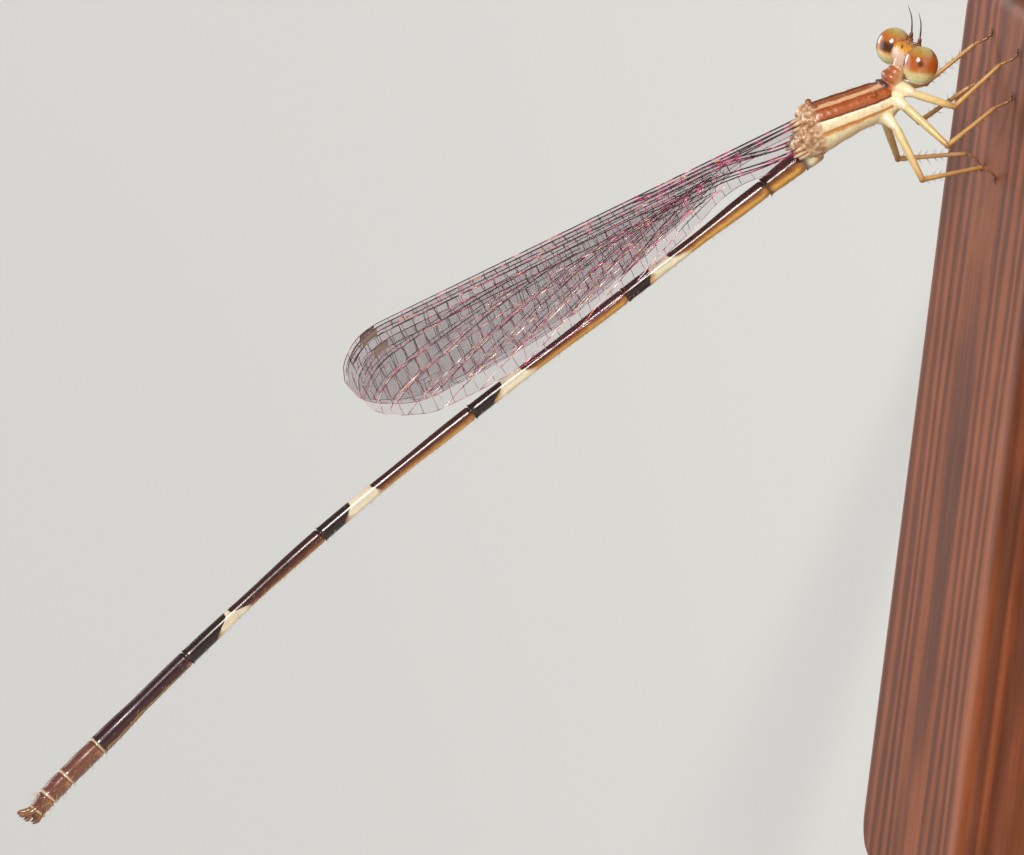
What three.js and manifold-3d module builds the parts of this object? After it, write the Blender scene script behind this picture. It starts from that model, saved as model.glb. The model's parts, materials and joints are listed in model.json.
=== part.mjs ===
// A slender forest damselfly at rest with its wings closed, life size, standing on a plain wooden base.
// Sizes are in millimetres. +X is the way the head points along the base, +Y is the insect's left, +Z is up.
// Each part of the body is shaped in a frame of its own: x forward, y left, z towards the back of the insect.
import * as THREE from 'three';
import { mergeVertices } from 'three/addons/utils/BufferGeometryUtils.js';
import Module from 'manifold-3d';

const wasm = await Module();
wasm.setup();

// Clearances
const gap = 0.3;
const footLift = 0.15;

// Base under the feet, centred below the whole insect
const stand = { length: 36, width: 14, thickness: 3, cornerRadius: 2, bevel: 0.4, centreX: -13.8 };

// Head: a narrow capsule across the body between two round eyes, turned a little to the right
const head = {
  centre: [1.4, 0, 3.71],
  pitch: 90,
  leftSideUp: 17,
  leftSideForward: 8,
  halfBridge: 0.42,
  halfDepth: 0.46,
  halfHeight: 0.5,
  ahead: -0.02,
  rise: 0.02,
  swell: 0.12,
  frons: { halfLength: 0.3, halfWidth: 0.38, halfHeight: 0.22, ahead: 0.32, rise: 0.08 },
  clypeus: { halfLength: 0.28, halfWidth: 0.33, halfHeight: 0.15, ahead: 0.38, rise: -0.22 },
  ocelli: [[0.2, 0], [0.02, 0.16], [0.02, -0.16]],
  ocellusRadius: 0.1,
  ocellusSink: 0.02,
};
const eye = {
  flatAt: head.halfBridge + gap,
  centreAt: 1.04,
  halfDepth: 0.68,
  halfWidth: 0.66,
  halfHeight: 0.74,
};
const antenna = {
  footWidth: 0.5,
  footShare: 0.4,
  tipWidth: 0.12,
  spread: 0.3,
  tipSpread: 0.42,
  forward: 0.16,
  sink: 0.05,
  reach: 1.9,
  leanBack: 0.15,
};
const mouth = {
  forward: 0.34,
  drop: 0.86,
  halfDepth: 0.34,
  halfWidth: 0.36,
  halfHeight: 0.3,
  lineDepth: 0.07,
  lineDrop: 0.06,
  lineReach: 0.3,
};

// Prothorax: the small saddle between head and thorax, with a raised hind lobe
const prothorax = {
  centre: [0.5, 0, 4.16],
  pitch: 22,
  length: 1.0,
  halfWidth: 0.52,
  halfHeight: 0.47,
  lobeFrom: 0.7,
  lobeRise: 0.09,
  sizes: [[0, 0.62], [0.3, 0.95], [0.6, 0.9], [0.85, 1], [1, 0.9]],
};

// Thorax: its front centre, its slope, and stations of [distance back, top, bottom, half width]
const thorax = {
  front: [-0.31, 0, 4.4],
  pitch: 62,
  carinaRise: 0.06,
  sutureDepth: 0.04,
  squareness: 2.5,
  sides: 32,
  sutureColumns: [4, 7],
  stations: [
    [-0.5, 0.22, -0.6, 0.4],
    [0.0, 0.66, -0.78, 0.68],
    [0.5, 0.76, -0.76, 0.8],
    [1.2, 0.82, -0.76, 0.86],
    [2.0, 0.9, -0.86, 0.88],
    [2.7, 0.95, -0.98, 0.86],
    [3.1, 0.78, -1.06, 0.84],
    [3.5, 0.4, -1.0, 0.74],
    [3.85, 0.02, -0.7, 0.5],
  ],
};

// Swellings on either side of the thorax: [distance back, side, height, half length, half width, half height]
const thoraxLobes = {
  midHip: [-0.28, 0.42, -0.3, 0.3, 0.26, 0.26],
  hindHip: [0.3, 0.42, -0.62, 0.4, 0.26, 0.22],
  foreHinge: [3.0, 0.42, 0.66, 0.34, 0.3, 0.26],
  hindHinge: [3.3, 0.66, -0.1, 0.36, 0.28, 0.3],
};

// Abdomen: each segment has [length, slope of its line, half width in front, at the middle and behind]
const abdomen = {
  start: [-2.5, 0, 6.83],
  depthShare: 1.04,
  rimRise: 0.03,
  rimFrom: 0.97,
  segments: [
    [0.75, 49, 0.46, 0.48, 0.44],
    [1.68, 47.5, 0.43, 0.41, 0.37],
    [6.77, 47.3, 0.34, 0.27, 0.3],
    [7.35, 47.6, 0.3, 0.26, 0.3],
    [7.4, 45.7, 0.3, 0.26, 0.3],
    [6.92, 42.0, 0.3, 0.27, 0.32],
    [4.79, 39.8, 0.33, 0.34, 0.39],
    [1.7, 40.0, 0.38, 0.395, 0.38],
    [1.0, 38.0, 0.38, 0.39, 0.37],
    [0.72, 33.0, 0.36, 0.35, 0.31],
  ],
};
const clasper = {
  rootWidth: 0.35,
  tipWidth: 0.24,
  rootSpread: 0.13,
  rootRise: 0.1,
  elbowSpread: 0.16,
  elbowShare: { reach: 0.7, rise: 0.45 },
  tipSpread: 0.24,
  sunk: 0.2,
  upperReach: 0.62,
  upperRise: 0.52,
  lowerReach: 0.6,
  lowerDrop: 0.2,
};
const genitalBump = { halfLength: 0.42, halfWidth: 0.2, halfHeight: 0.2, behindFront: 0.75 };

// Wings: both pairs lie upright side by side, the hind pair outside and a little lower
const wing = {
  pitch: 59.4,
  rootLine: [-1.3, 0, 7.5],
  membrane: 0.4,
  veinRise: 0.045,
  veinCrowding: 1.12,
  stations: 26,
  columns: 12,
  stigmaFrom: 0.89,
  stigmaTo: 0.94,
  stalkWidth: 0.52,
  stalkRoomLength: 3,
  bladeShares: [[0.16, 0], [0.45, 0.78], [0.74, 1], [1, 1]],
  tipFrom: 0.86,
  tipDropShare: 0.46,
  leastWidth: 0.25,
  settledAt: 0.2,
};
const foreWing = { length: 19.9, width: 3.35, back: 0.25, drop: 0, rootY: 0.38, sideY: 0.38, riseTo: 0 };
const hindWing = { length: 19.3, width: 3.45, back: 0.65, drop: 0.83, rootY: 0.8, sideY: 1.12, riseTo: 0.35 };

// Legs: where each hip, trochanter, knee, ankle and toe of the left side lies over the base
const leg = {
  hipWidth: 0.6,
  thighWidth: 0.55,
  shinWidth: 0.5,
  toeWidth: 0.3,
  bend: 0.22,
  sides: 8,
  steps: 22,
};
const legPoints = {
  fore: [[0.2, 0.25, 3.9], [0.08, 0.75, 3.42], [-0.02, 2.2, 2.22], [1.7, 1.95, 0.66], [2.1, 1.96, 0.3]],
  mid: [[-0.2, 0.25, 4.2], [-0.45, 0.85, 3.7], [-1.54, 2.2, 2.29], [0.04, 1.95, 0.62], [0.4, 1.96, 0.3]],
  hind: [[-0.75, 0.25, 4.6], [-1.25, 1.0, 4.05], [-2.99, 1.9, 3.03], [-2.45, 1.25, 0.62], [-2.85, 1.12, 0.3]],
};

function finish(colour, roughness) {
  return new THREE.MeshStandardMaterial({ color: colour, roughness, metalness: 0 });
}

const finishes = {
  wood: finish(0x4a2c1a, 0.5),
  eye: finish(0xb9692a, 0.15),
  headSkin: finish(0xc08a3c, 0.4),
  antenna: finish(0x8a5a34, 0.5),
  mouth: finish(0xe0cc9a, 0.45),
  thoraxSkin: finish(0x96461a, 0.35),
  cream: finish(0xf0e1be, 0.35),
  abdomenBrown: finish(0x6a3420, 0.3),
  abdomenDark: finish(0x32141e, 0.3),
  abdomenEnd: finish(0x6e3223, 0.35),
  membrane: finish(0xb9aa9c, 0.25),
  legSkin: finish(0xe0c48c, 0.45),
};

const toRadians = THREE.MathUtils.degToRad;

function vector(list) {
  return new THREE.Vector3(list[0], list[1], list[2]);
}

// Straight runs between knots of [place, value], eased so that they leave no corner
function eased(knots, place) {
  let k = 0;
  while (k < knots.length - 2 && place > knots[k + 1][0]) {
    k += 1;
  }
  const span = knots[k + 1][0] - knots[k][0];
  const share = THREE.MathUtils.clamp((place - knots[k][0]) / span, 0, 1);
  return THREE.MathUtils.lerp(knots[k][1], knots[k + 1][1], THREE.MathUtils.smoothstep(share, 0, 1));
}

function signedVolume(geometry) {
  const corners = [new THREE.Vector3(), new THREE.Vector3(), new THREE.Vector3()];
  const { index } = geometry;
  const { position } = geometry.attributes;
  let volume = 0;
  for (let i = 0; i < index.count; i += 3) {
    corners.forEach((corner, k) => corner.fromBufferAttribute(position, index.getX(i + k)));
    volume += corners[0].dot(corners[1].clone().cross(corners[2])) / 6;
  }
  return volume;
}

// One merged surface whose faces point out
function closedSurface(geometry) {
  geometry.deleteAttribute('normal');
  geometry.deleteAttribute('uv');
  const merged = mergeVertices(geometry, 1e-5);
  if (signedVolume(merged) < 0) {
    merged.index.array.reverse();
  }
  return merged;
}

// A closed tube: each point of a unit cylinder is placed by its share along, its angle and its reach
function shapedTube(sides, steps, place) {
  const geometry = new THREE.CylinderGeometry(1, 1, 1, sides, steps);
  const position = geometry.attributes.position;
  for (let i = 0; i < position.count; i += 1) {
    const x = position.getX(i);
    const z = position.getZ(i);
    const point = place(0.5 - position.getY(i), Math.atan2(z, x), Math.hypot(x, z));
    position.setXYZ(i, point.x, point.y, point.z);
  }
  return closedSurface(geometry);
}

function ellipsoid(halfX, halfY, halfZ, centre, sides = 16, rows = 10) {
  const geometry = new THREE.SphereGeometry(1, sides, rows);
  geometry.scale(halfX, halfY, halfZ);
  geometry.translate(centre[0], centre[1], centre[2]);
  return closedSurface(geometry);
}

function toSolid(geometry) {
  const vertProperties = new Float32Array(geometry.attributes.position.array);
  const triVerts = new Uint32Array(geometry.index.array);
  return new wasm.Manifold(new wasm.Mesh({ numProp: 3, vertProperties, triVerts }));
}

// The largest closed surface of a solid
function toGeometry(solid) {
  const pieces = solid.decompose();
  const largest = pieces.reduce((best, piece) => (piece.volume() > best.volume() ? piece : best));
  const mesh = largest.getMesh();
  const geometry = new THREE.BufferGeometry();
  geometry.setAttribute('position', new THREE.BufferAttribute(new Float32Array(mesh.vertProperties), 3));
  geometry.setIndex(new THREE.BufferAttribute(new Uint32Array(mesh.triVerts), 1));
  return geometry;
}

function joined(geometries) {
  const solids = geometries.map(toSolid);
  return toGeometry(solids.reduce((whole, solid) => whole.add(solid)));
}

// The surface pushed out along its normals
function grown(geometry, distance) {
  const copy = geometry.clone();
  copy.computeVertexNormals();
  const position = copy.attributes.position;
  const normal = copy.attributes.normal;
  for (let i = 0; i < position.count; i += 1) {
    position.setX(i, position.getX(i) + normal.getX(i) * distance);
    position.setY(i, position.getY(i) + normal.getY(i) * distance);
    position.setZ(i, position.getZ(i) + normal.getZ(i) * distance);
  }
  copy.deleteAttribute('normal');
  return copy;
}

// Cuts shapes away from a mesh, each given in the frame of its own object, whichever groups they hang in
function cutAway(mesh, shapes) {
  mesh.updateWorldMatrix(true, false);
  const toLocal = mesh.matrixWorld.clone().invert();
  let solid = toSolid(mesh.geometry);
  shapes.forEach(({ geometry, frame }) => {
    frame.updateWorldMatrix(true, false);
    const placed = geometry.clone().applyMatrix4(frame.matrixWorld).applyMatrix4(toLocal);
    solid = solid.subtract(toSolid(placed));
  });
  mesh.geometry = toGeometry(solid);
}

// Cuts a mesh back so that it keeps the gap to each neighbour
function keepClear(mesh, neighbours) {
  cutAway(mesh, neighbours.map((neighbour) => (
    { geometry: grown(neighbour.geometry, gap), frame: neighbour }
  )));
}

function namedMesh(name, geometry, material) {
  const mesh = new THREE.Mesh(geometry, material);
  mesh.name = name;
  return mesh;
}

function framed(place, pitch) {
  const group = new THREE.Group();
  group.position.fromArray(place);
  group.rotation.y = toRadians(pitch);
  return group;
}

function standBase() {
  const halfLength = stand.length / 2 - stand.bevel;
  const halfWidth = stand.width / 2 - stand.bevel;
  const r = stand.cornerRadius;
  const outline = new THREE.Shape();
  outline.moveTo(-halfLength + r, -halfWidth);
  outline.lineTo(halfLength - r, -halfWidth);
  outline.absarc(halfLength - r, -halfWidth + r, r, -Math.PI / 2, 0, false);
  outline.absarc(halfLength - r, halfWidth - r, r, 0, Math.PI / 2, false);
  outline.absarc(-halfLength + r, halfWidth - r, r, Math.PI / 2, Math.PI, false);
  outline.absarc(-halfLength + r, -halfWidth + r, r, Math.PI, Math.PI * 1.5, false);
  const geometry = new THREE.ExtrudeGeometry(outline, {
    depth: stand.thickness - 2 * stand.bevel,
    bevelSize: stand.bevel,
    bevelThickness: stand.bevel,
    bevelSegments: 1,
    curveSegments: 4,
  });
  geometry.translate(0, 0, stand.bevel);
  return namedMesh('stand_base', closedSurface(geometry), finishes.wood);
}

// The bridge of the head between the eyes, with frons, clypeus and three ocelli
function headCapsule() {
  const bridge = shapedTube(20, 6, (along, angle, reach) => {
    const side = (along * 2 - 1) * head.halfBridge;
    const swell = 1 - head.swell * (side / head.halfBridge) ** 2;
    const x = head.ahead + head.halfDepth * swell * Math.cos(angle) * reach;
    const z = head.rise + head.halfHeight * swell * Math.sin(angle) * reach;
    return new THREE.Vector3(x, side, z);
  });
  const [frons, clypeus] = [head.frons, head.clypeus].map((lobe) => (
    ellipsoid(lobe.halfLength, lobe.halfWidth, lobe.halfHeight, [lobe.ahead, 0, lobe.rise], 14, 8)
  ));
  const size = head.ocellusRadius;
  const ocelli = head.ocelli.map(([forward, side]) => (
    ellipsoid(size, size, size, [forward, side, head.halfHeight - head.ocellusSink], 8, 6)
  ));
  return namedMesh('head', joined([bridge, frons, clypeus, ...ocelli]), finishes.headSkin);
}

// A round eye with a flat inner side that faces the bridge
function eyeBall(name, side) {
  const ball = ellipsoid(eye.halfDepth, eye.halfWidth, eye.halfHeight, [0, side * eye.centreAt, 0], 20, 14);
  const inner = new THREE.BoxGeometry(2, eye.flatAt * 2, 2);
  return namedMesh(name, toGeometry(toSolid(ball).subtract(toSolid(closedSurface(inner)))), finishes.eye);
}

// A tube along a curve, with its width given by knots of [share of the length, width]
function sweptTube(curve, sides, steps, widths, sideways) {
  return shapedTube(sides, steps, (along, angle, reach) => {
    const centre = curve.getPointAt(along);
    const tangent = curve.getTangentAt(along);
    const across = sideways.clone().addScaledVector(tangent, -sideways.dot(tangent)).normalize();
    const over = across.clone().cross(tangent);
    const radius = 0.5 * eased(widths, along) * reach;
    centre.addScaledVector(across, radius * Math.cos(angle));
    return centre.addScaledVector(over, radius * Math.sin(angle));
  });
}

function antennaThread(name, side) {
  const rootHeight = head.halfHeight + gap - antenna.sink;
  const middleHeight = (head.halfHeight + antenna.reach) / 2;
  const root = new THREE.Vector3(antenna.forward, side * antenna.spread, rootHeight);
  const middle = new THREE.Vector3(antenna.forward, side * antenna.spread, middleHeight);
  const tip = new THREE.Vector3(-antenna.leanBack, side * antenna.tipSpread, antenna.reach);
  const curve = new THREE.QuadraticBezierCurve3(root, middle, tip);
  const widths = [[0, antenna.footWidth], [antenna.footShare, antenna.footWidth], [1, antenna.tipWidth]];
  const tube = sweptTube(curve, 8, 8, widths, new THREE.Vector3(0, 1, 0));
  return namedMesh(name, tube, finishes.antenna);
}

function mouthParts() {
  const centre = [mouth.forward, 0, -mouth.drop];
  const lips = ellipsoid(mouth.halfDepth, mouth.halfWidth, mouth.halfHeight, centre, 14, 8);
  const above = new THREE.BoxGeometry(2, 2, 2);
  above.translate(0, 0, 1 + head.rise - head.halfHeight - gap);
  const line = new THREE.BoxGeometry(mouth.lineReach, 1, mouth.lineDepth);
  const lineAhead = mouth.forward + mouth.halfDepth + mouth.lineReach / 2 - mouth.lineDepth;
  line.translate(lineAhead, 0, -mouth.drop - mouth.lineDrop);
  const solid = toSolid(lips).subtract(toSolid(closedSurface(above))).subtract(toSolid(closedSurface(line)));
  return namedMesh('mouthparts', toGeometry(solid), finishes.mouth);
}

function prothoraxSaddle() {
  const geometry = shapedTube(20, 8, (along, angle, reach) => {
    const size = eased(prothorax.sizes, along) * reach;
    const lobe = along > prothorax.lobeFrom && Math.sin(angle) > 0.5 ? prothorax.lobeRise * reach : 0;
    return new THREE.Vector3(
      (0.5 - along) * prothorax.length,
      prothorax.halfWidth * size * Math.cos(angle),
      prothorax.halfHeight * size * Math.sin(angle) + lobe,
    );
  });
  return namedMesh('prothorax', geometry, finishes.cream);
}

// The flanks are nearly flat, with a keel along the back and two sutures down each side
function thoraxShell() {
  const first = thorax.stations[0][0];
  const last = thorax.stations[thorax.stations.length - 1][0];
  const tops = thorax.stations.map((station) => [station[0], station[1]]);
  const bottoms = thorax.stations.map((station) => [station[0], station[2]]);
  const widths = thorax.stations.map((station) => [station[0], station[3]]);
  const geometry = shapedTube(thorax.sides, 14, (along, angle, reach) => {
    const back = THREE.MathUtils.lerp(first, last, along);
    const top = eased(tops, back);
    const bottom = eased(bottoms, back);
    const column = Math.round((angle / (2 * Math.PI)) * thorax.sides);
    const fromTop = Math.abs(Math.abs(column) - thorax.sides / 4);
    const keel = angle > 0 && fromTop === 0 ? thorax.carinaRise : 0;
    const suture = angle > 0 && thorax.sutureColumns.includes(fromTop) ? thorax.sutureDepth : 0;
    const power = 2 / thorax.squareness;
    const y = eased(widths, back) * Math.sign(Math.cos(angle)) * Math.abs(Math.cos(angle)) ** power;
    const z = ((top - bottom) / 2) * Math.sign(Math.sin(angle)) * Math.abs(Math.sin(angle)) ** power;
    const scale = reach * (1 - suture);
    return new THREE.Vector3(-back, y * scale, (top + bottom) / 2 + z * scale + keel * reach);
  });
  const lobes = Object.values(thoraxLobes).flatMap(([back, side, height, ...halves]) => (
    [1, -1].map((flank) => ellipsoid(...halves, [-back, flank * side, height], 10, 6))
  ));
  return namedMesh('thorax', joined([geometry, ...lobes]), finishes.thoraxSkin);
}

// One segment along its own frame, narrowed at the middle and rimmed at its hind end
function segmentShell(length, widths) {
  const knots = [[0, widths[0]], [0.12, widths[0]], [0.5, widths[1]], [0.9, widths[2]], [1, widths[2]]];
  const steps = length > 3 ? 12 : 6;
  return shapedTube(16, steps, (along, angle, reach) => {
    const rim = along > abdomen.rimFrom ? abdomen.rimRise : 0;
    const radius = (eased(knots, along) + rim) * reach;
    return new THREE.Vector3(
      -gap / 2 - along * (length - gap),
      radius * Math.cos(angle),
      radius * abdomen.depthShare * Math.sin(angle),
    );
  });
}

function prong(side, rise, reach, backFrom) {
  const root = new THREE.Vector3(backFrom, side * clasper.rootSpread, Math.sign(rise) * clasper.rootRise);
  const elbowAt = backFrom - reach * clasper.elbowShare.reach;
  const elbow = new THREE.Vector3(elbowAt, side * clasper.elbowSpread, rise * clasper.elbowShare.rise);
  const tip = new THREE.Vector3(backFrom - clasper.sunk - reach, side * clasper.tipSpread, rise);
  const curve = new THREE.QuadraticBezierCurve3(root, elbow, tip);
  return sweptTube(curve, 8, 5, [[0, clasper.rootWidth], [1, clasper.tipWidth]], new THREE.Vector3(0, 1, 0));
}

function claspers(length) {
  const backFrom = gap / 2 - length + clasper.sunk;
  return [-1, 1].flatMap((side) => [
    prong(side, clasper.upperRise, clasper.upperReach, backFrom),
    prong(side, -clasper.lowerDrop, clasper.lowerReach, backFrom),
  ]);
}

function segmentFinish(number) {
  if (number === 1) {
    return finishes.cream;
  }
  if (number < 7) {
    return finishes.abdomenBrown;
  }
  return number === 7 ? finishes.abdomenDark : finishes.abdomenEnd;
}

function abdomenChain() {
  const chain = new THREE.Group();
  const joint = vector(abdomen.start);
  abdomen.segments.forEach(([length, slope, ...widths], k) => {
    const number = k + 1;
    const place = framed(joint.toArray(), slope);
    let geometry = segmentShell(length, widths);
    if (number === 2) {
      const bumpAt = [-genitalBump.behindFront, 0, -widths[1]];
      geometry = joined([
        geometry,
        ellipsoid(genitalBump.halfLength, genitalBump.halfWidth, genitalBump.halfHeight, bumpAt, 10, 6),
      ]);
    }
    if (number === abdomen.segments.length) {
      geometry = joined([geometry, ...claspers(length)]);
    }
    place.add(namedMesh(`abdomen_${number}`, geometry, segmentFinish(number)));
    chain.add(place);
    const angle = toRadians(slope);
    joint.add(new THREE.Vector3(-Math.cos(angle) * length, 0, Math.sin(angle) * length));
  });
  return chain;
}

// Width of the wing at a share of its length: a narrow stalk, a long blade and a round tip
function wingWidth(share, sizes) {
  const full = THREE.MathUtils.lerp(wing.stalkWidth, sizes.width, eased(wing.bladeShares, share));
  const pastTip = Math.max(0, (share - wing.tipFrom) / (1 - wing.tipFrom));
  return Math.max(full * Math.sqrt(Math.max(0, 1 - pastTip ** 2)), wing.leastWidth);
}

// Both faces of a thin blade and its rim, with the same split of each square on either face
function blade(stations, columns, place) {
  const row = columns + 1;
  const faceCount = (stations + 1) * row;
  const positions = [];
  [1, -1].forEach((face) => {
    for (let i = 0; i <= stations; i += 1) {
      for (let j = 0; j <= columns; j += 1) {
        positions.push(...place(i / stations, j / columns, face).toArray());
      }
    }
  });
  const index = [];
  for (let i = 0; i < stations; i += 1) {
    for (let j = 0; j < columns; j += 1) {
      const a = i * row + j;
      const b = a + row;
      index.push(a, b, b + 1, a, b + 1, a + 1);
      index.push(a + faceCount, b + 1 + faceCount, b + faceCount);
      index.push(a + faceCount, a + 1 + faceCount, b + 1 + faceCount);
    }
  }
  const rim = [];
  for (let j = 0; j < columns; j += 1) {
    rim.push(j);
  }
  for (let i = 0; i < stations; i += 1) {
    rim.push(i * row + columns);
  }
  for (let j = columns; j > 0; j -= 1) {
    rim.push(stations * row + j);
  }
  for (let i = stations; i > 0; i -= 1) {
    rim.push(i * row);
  }
  rim.forEach((from, k) => {
    const to = rim[(k + 1) % rim.length];
    index.push(from, to, to + faceCount, from, to + faceCount, from + faceCount);
  });
  const geometry = new THREE.BufferGeometry();
  geometry.setAttribute('position', new THREE.Float32BufferAttribute(positions, 3));
  geometry.setIndex(index);
  return closedSurface(geometry);
}

// The leading edge runs back along the wing's line, and the chord hangs below it.
// Every second column of the blade is a vein, and the wing spot fills the space behind the first one.
function wingBlade(name, sizes, side, material) {
  const geometry = blade(wing.stations, wing.columns, (share, chord, face) => {
    const width = wingWidth(share, sizes);
    const narrowing = Math.max(0, sizes.width - width) * THREE.MathUtils.smoothstep(share, wing.tipFrom, 1);
    const tipDrop = wing.tipDropShare * narrowing;
    const drop = eased([[0, sizes.drop], [wing.settledAt, sizes.riseTo], [1, sizes.riseTo]], share);
    const y = eased([[0, sizes.rootY], [0.13, sizes.sideY], [1, sizes.sideY]], share);
    const column = Math.round(chord * wing.columns);
    const inSpot = column === 1 && share > wing.stigmaFrom && share < wing.stigmaTo;
    const vein = column % 2 === 0 || inSpot ? wing.veinRise : 0;
    const crowded = THREE.MathUtils.smoothstep(share, 0, 1);
    const across = THREE.MathUtils.lerp(chord, chord ** wing.veinCrowding, crowded);
    return new THREE.Vector3(
      -sizes.back - share * sizes.length,
      side * y + face * (wing.membrane / 2 + vein),
      -drop - tipDrop - across * width,
    );
  });
  return namedMesh(name, geometry, material);
}

// The room that a wing's stalk needs where it leaves the thorax
function stalkRoom(sizes, side) {
  const halfThickness = wing.membrane / 2 + wing.veinRise + gap;
  const inner = sizes.rootY - halfThickness;
  const outer = sizes.sideY + halfThickness;
  const reach = wing.stalkRoomLength;
  const geometry = new THREE.BoxGeometry(reach, outer - inner, wing.stalkWidth + 2 * gap);
  const middle = (side * (inner + outer)) / 2;
  geometry.translate(-sizes.back + gap - reach / 2, middle, -sizes.drop - wing.stalkWidth / 2);
  return closedSurface(geometry);
}

function roundedPath(points, radius) {
  const path = new THREE.CurvePath();
  let from = points[0];
  for (let k = 1; k < points.length - 1; k += 1) {
    const before = points[k].clone().sub(points[k - 1]).setLength(radius);
    const after = points[k + 1].clone().sub(points[k]).setLength(radius);
    const entry = points[k].clone().sub(before);
    const exit = points[k].clone().add(after);
    path.add(new THREE.LineCurve3(from, entry));
    path.add(new THREE.QuadraticBezierCurve3(entry, points[k], exit));
    from = exit;
  }
  path.add(new THREE.LineCurve3(from, points[points.length - 1]));
  return path;
}

// Hip, thigh, shin and foot as one bent tube, with the foot cut flat where it meets the base
function wholeLeg(name, points, side) {
  const places = points.map((point) => new THREE.Vector3(point[0], side * point[1], point[2]));
  const curve = roundedPath(places, leg.bend);
  const reach = places.map((place, k) => (k === 0 ? 0 : place.distanceTo(places[k - 1])));
  const whole = reach.reduce((sum, length) => sum + length);
  const [trochanterAt, kneeAt, ankleAt] = [1, 2, 3].map((last) => (
    reach.slice(0, last + 1).reduce((sum, length) => sum + length) / whole
  ));
  const widths = [
    [0, leg.hipWidth],
    [trochanterAt, leg.hipWidth],
    [kneeAt, leg.thighWidth],
    [ankleAt, leg.shinWidth],
    [1, leg.toeWidth],
  ];
  const tube = sweptTube(curve, leg.sides, leg.steps, widths, new THREE.Vector3(0.35, side, 0.2).normalize());
  const under = new THREE.BoxGeometry(20, 20, 2);
  under.translate(0, 0, footLift - 1);
  const solid = toSolid(tube).subtract(toSolid(closedSurface(under)));
  return namedMesh(name, toGeometry(solid), finishes.legSkin);
}

function headGroup() {
  const group = new THREE.Group();
  group.position.fromArray(head.centre);
  const yaw = -toRadians(head.leftSideForward);
  group.rotation.set(toRadians(head.leftSideUp), toRadians(head.pitch), yaw, 'XZY');
  group.add(
    headCapsule(),
    mouthParts(),
    eyeBall('eye_left', 1),
    eyeBall('eye_right', -1),
    antennaThread('antenna_left', 1),
    antennaThread('antenna_right', -1),
  );
  return group;
}

function wingGroup() {
  const group = framed(wing.rootLine, wing.pitch);
  group.add(
    wingBlade('forewing_left', foreWing, 1, finishes.membrane),
    wingBlade('forewing_right', foreWing, -1, finishes.membrane),
    wingBlade('hindwing_left', hindWing, 1, finishes.membrane),
    wingBlade('hindwing_right', hindWing, -1, finishes.membrane),
  );
  return group;
}

function legGroup() {
  const group = new THREE.Group();
  Object.entries(legPoints).forEach(([pair, points]) => {
    group.add(wholeLeg(`${pair}leg_left`, points, 1), wholeLeg(`${pair}leg_right`, points, -1));
  });
  return group;
}

// Brings the parts together and cuts each root clear of what it grows from
function insect() {
  const body = new THREE.Group();
  const heads = headGroup();
  const wings = wingGroup();
  const legs = legGroup();
  const chain = abdomenChain();
  const saddlePlace = framed(prothorax.centre, prothorax.pitch);
  const saddle = prothoraxSaddle();
  saddlePlace.add(saddle);
  const shellPlace = framed(thorax.front, thorax.pitch);
  const shell = thoraxShell();
  shellPlace.add(shell);
  body.add(heads, saddlePlace, shellPlace, chain, wings, legs);
  const mouthpiece = heads.getObjectByName('mouthparts');
  keepClear(saddle, [heads.getObjectByName('head'), mouthpiece]);
  keepClear(shell, [saddle, chain.getObjectByName('abdomen_1')]);
  cutAway(shell, [foreWing, hindWing].flatMap((sizes) => (
    [1, -1].map((side) => ({ geometry: stalkRoom(sizes, side), frame: wings }))
  )));
  legs.children.forEach((limb) => keepClear(limb, [
    shell,
    saddle,
    mouthpiece,
    heads.getObjectByName('eye_left'),
    heads.getObjectByName('eye_right'),
  ]));
  return body;
}

const damselfly = new THREE.Group();
const body = insect();
body.position.set(-stand.centreX, 0, stand.thickness + footLift);
damselfly.add(standBase(), body);

export default damselfly;
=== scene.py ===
import json
import math
import random

import bpy
from mathutils import Matrix, Vector
from mathutils.bvhtree import BVHTree

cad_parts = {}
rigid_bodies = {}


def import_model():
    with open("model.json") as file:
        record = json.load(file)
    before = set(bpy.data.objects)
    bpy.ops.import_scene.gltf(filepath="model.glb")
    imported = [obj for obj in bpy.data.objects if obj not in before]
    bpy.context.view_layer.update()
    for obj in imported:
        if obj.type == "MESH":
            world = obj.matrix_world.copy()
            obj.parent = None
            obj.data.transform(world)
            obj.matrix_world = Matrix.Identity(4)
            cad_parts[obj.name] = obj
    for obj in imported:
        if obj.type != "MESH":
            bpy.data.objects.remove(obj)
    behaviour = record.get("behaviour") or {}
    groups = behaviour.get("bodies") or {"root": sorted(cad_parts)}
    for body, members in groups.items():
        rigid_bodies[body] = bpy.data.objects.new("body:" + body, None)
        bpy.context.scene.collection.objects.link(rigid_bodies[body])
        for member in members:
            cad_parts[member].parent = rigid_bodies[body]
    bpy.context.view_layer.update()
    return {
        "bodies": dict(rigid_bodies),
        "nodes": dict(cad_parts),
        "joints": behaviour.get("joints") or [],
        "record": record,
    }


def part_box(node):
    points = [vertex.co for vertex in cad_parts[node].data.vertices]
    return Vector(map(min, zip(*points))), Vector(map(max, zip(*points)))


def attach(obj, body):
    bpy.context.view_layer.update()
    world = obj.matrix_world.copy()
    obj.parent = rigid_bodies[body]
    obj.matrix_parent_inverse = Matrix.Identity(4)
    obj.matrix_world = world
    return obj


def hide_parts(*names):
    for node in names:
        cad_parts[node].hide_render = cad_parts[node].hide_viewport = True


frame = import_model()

print("damselfly: frame loaded")

# Shapes are made in millimetres in the insect's own frame: x ahead, y to its left, z up from its feet.
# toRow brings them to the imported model's frame, in metres.
mm = 0.001
insectAt = {"ahead": 13.8, "lift": 0.15}
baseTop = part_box("stand_base")[1].z
toRow = Matrix.Scale(mm, 4) @ Matrix.Translation((insectAt["ahead"], 0, baseTop / mm + insectAt["lift"]))
groundLevel = -insectAt["lift"]          # the base's top, seen from the insect


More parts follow.
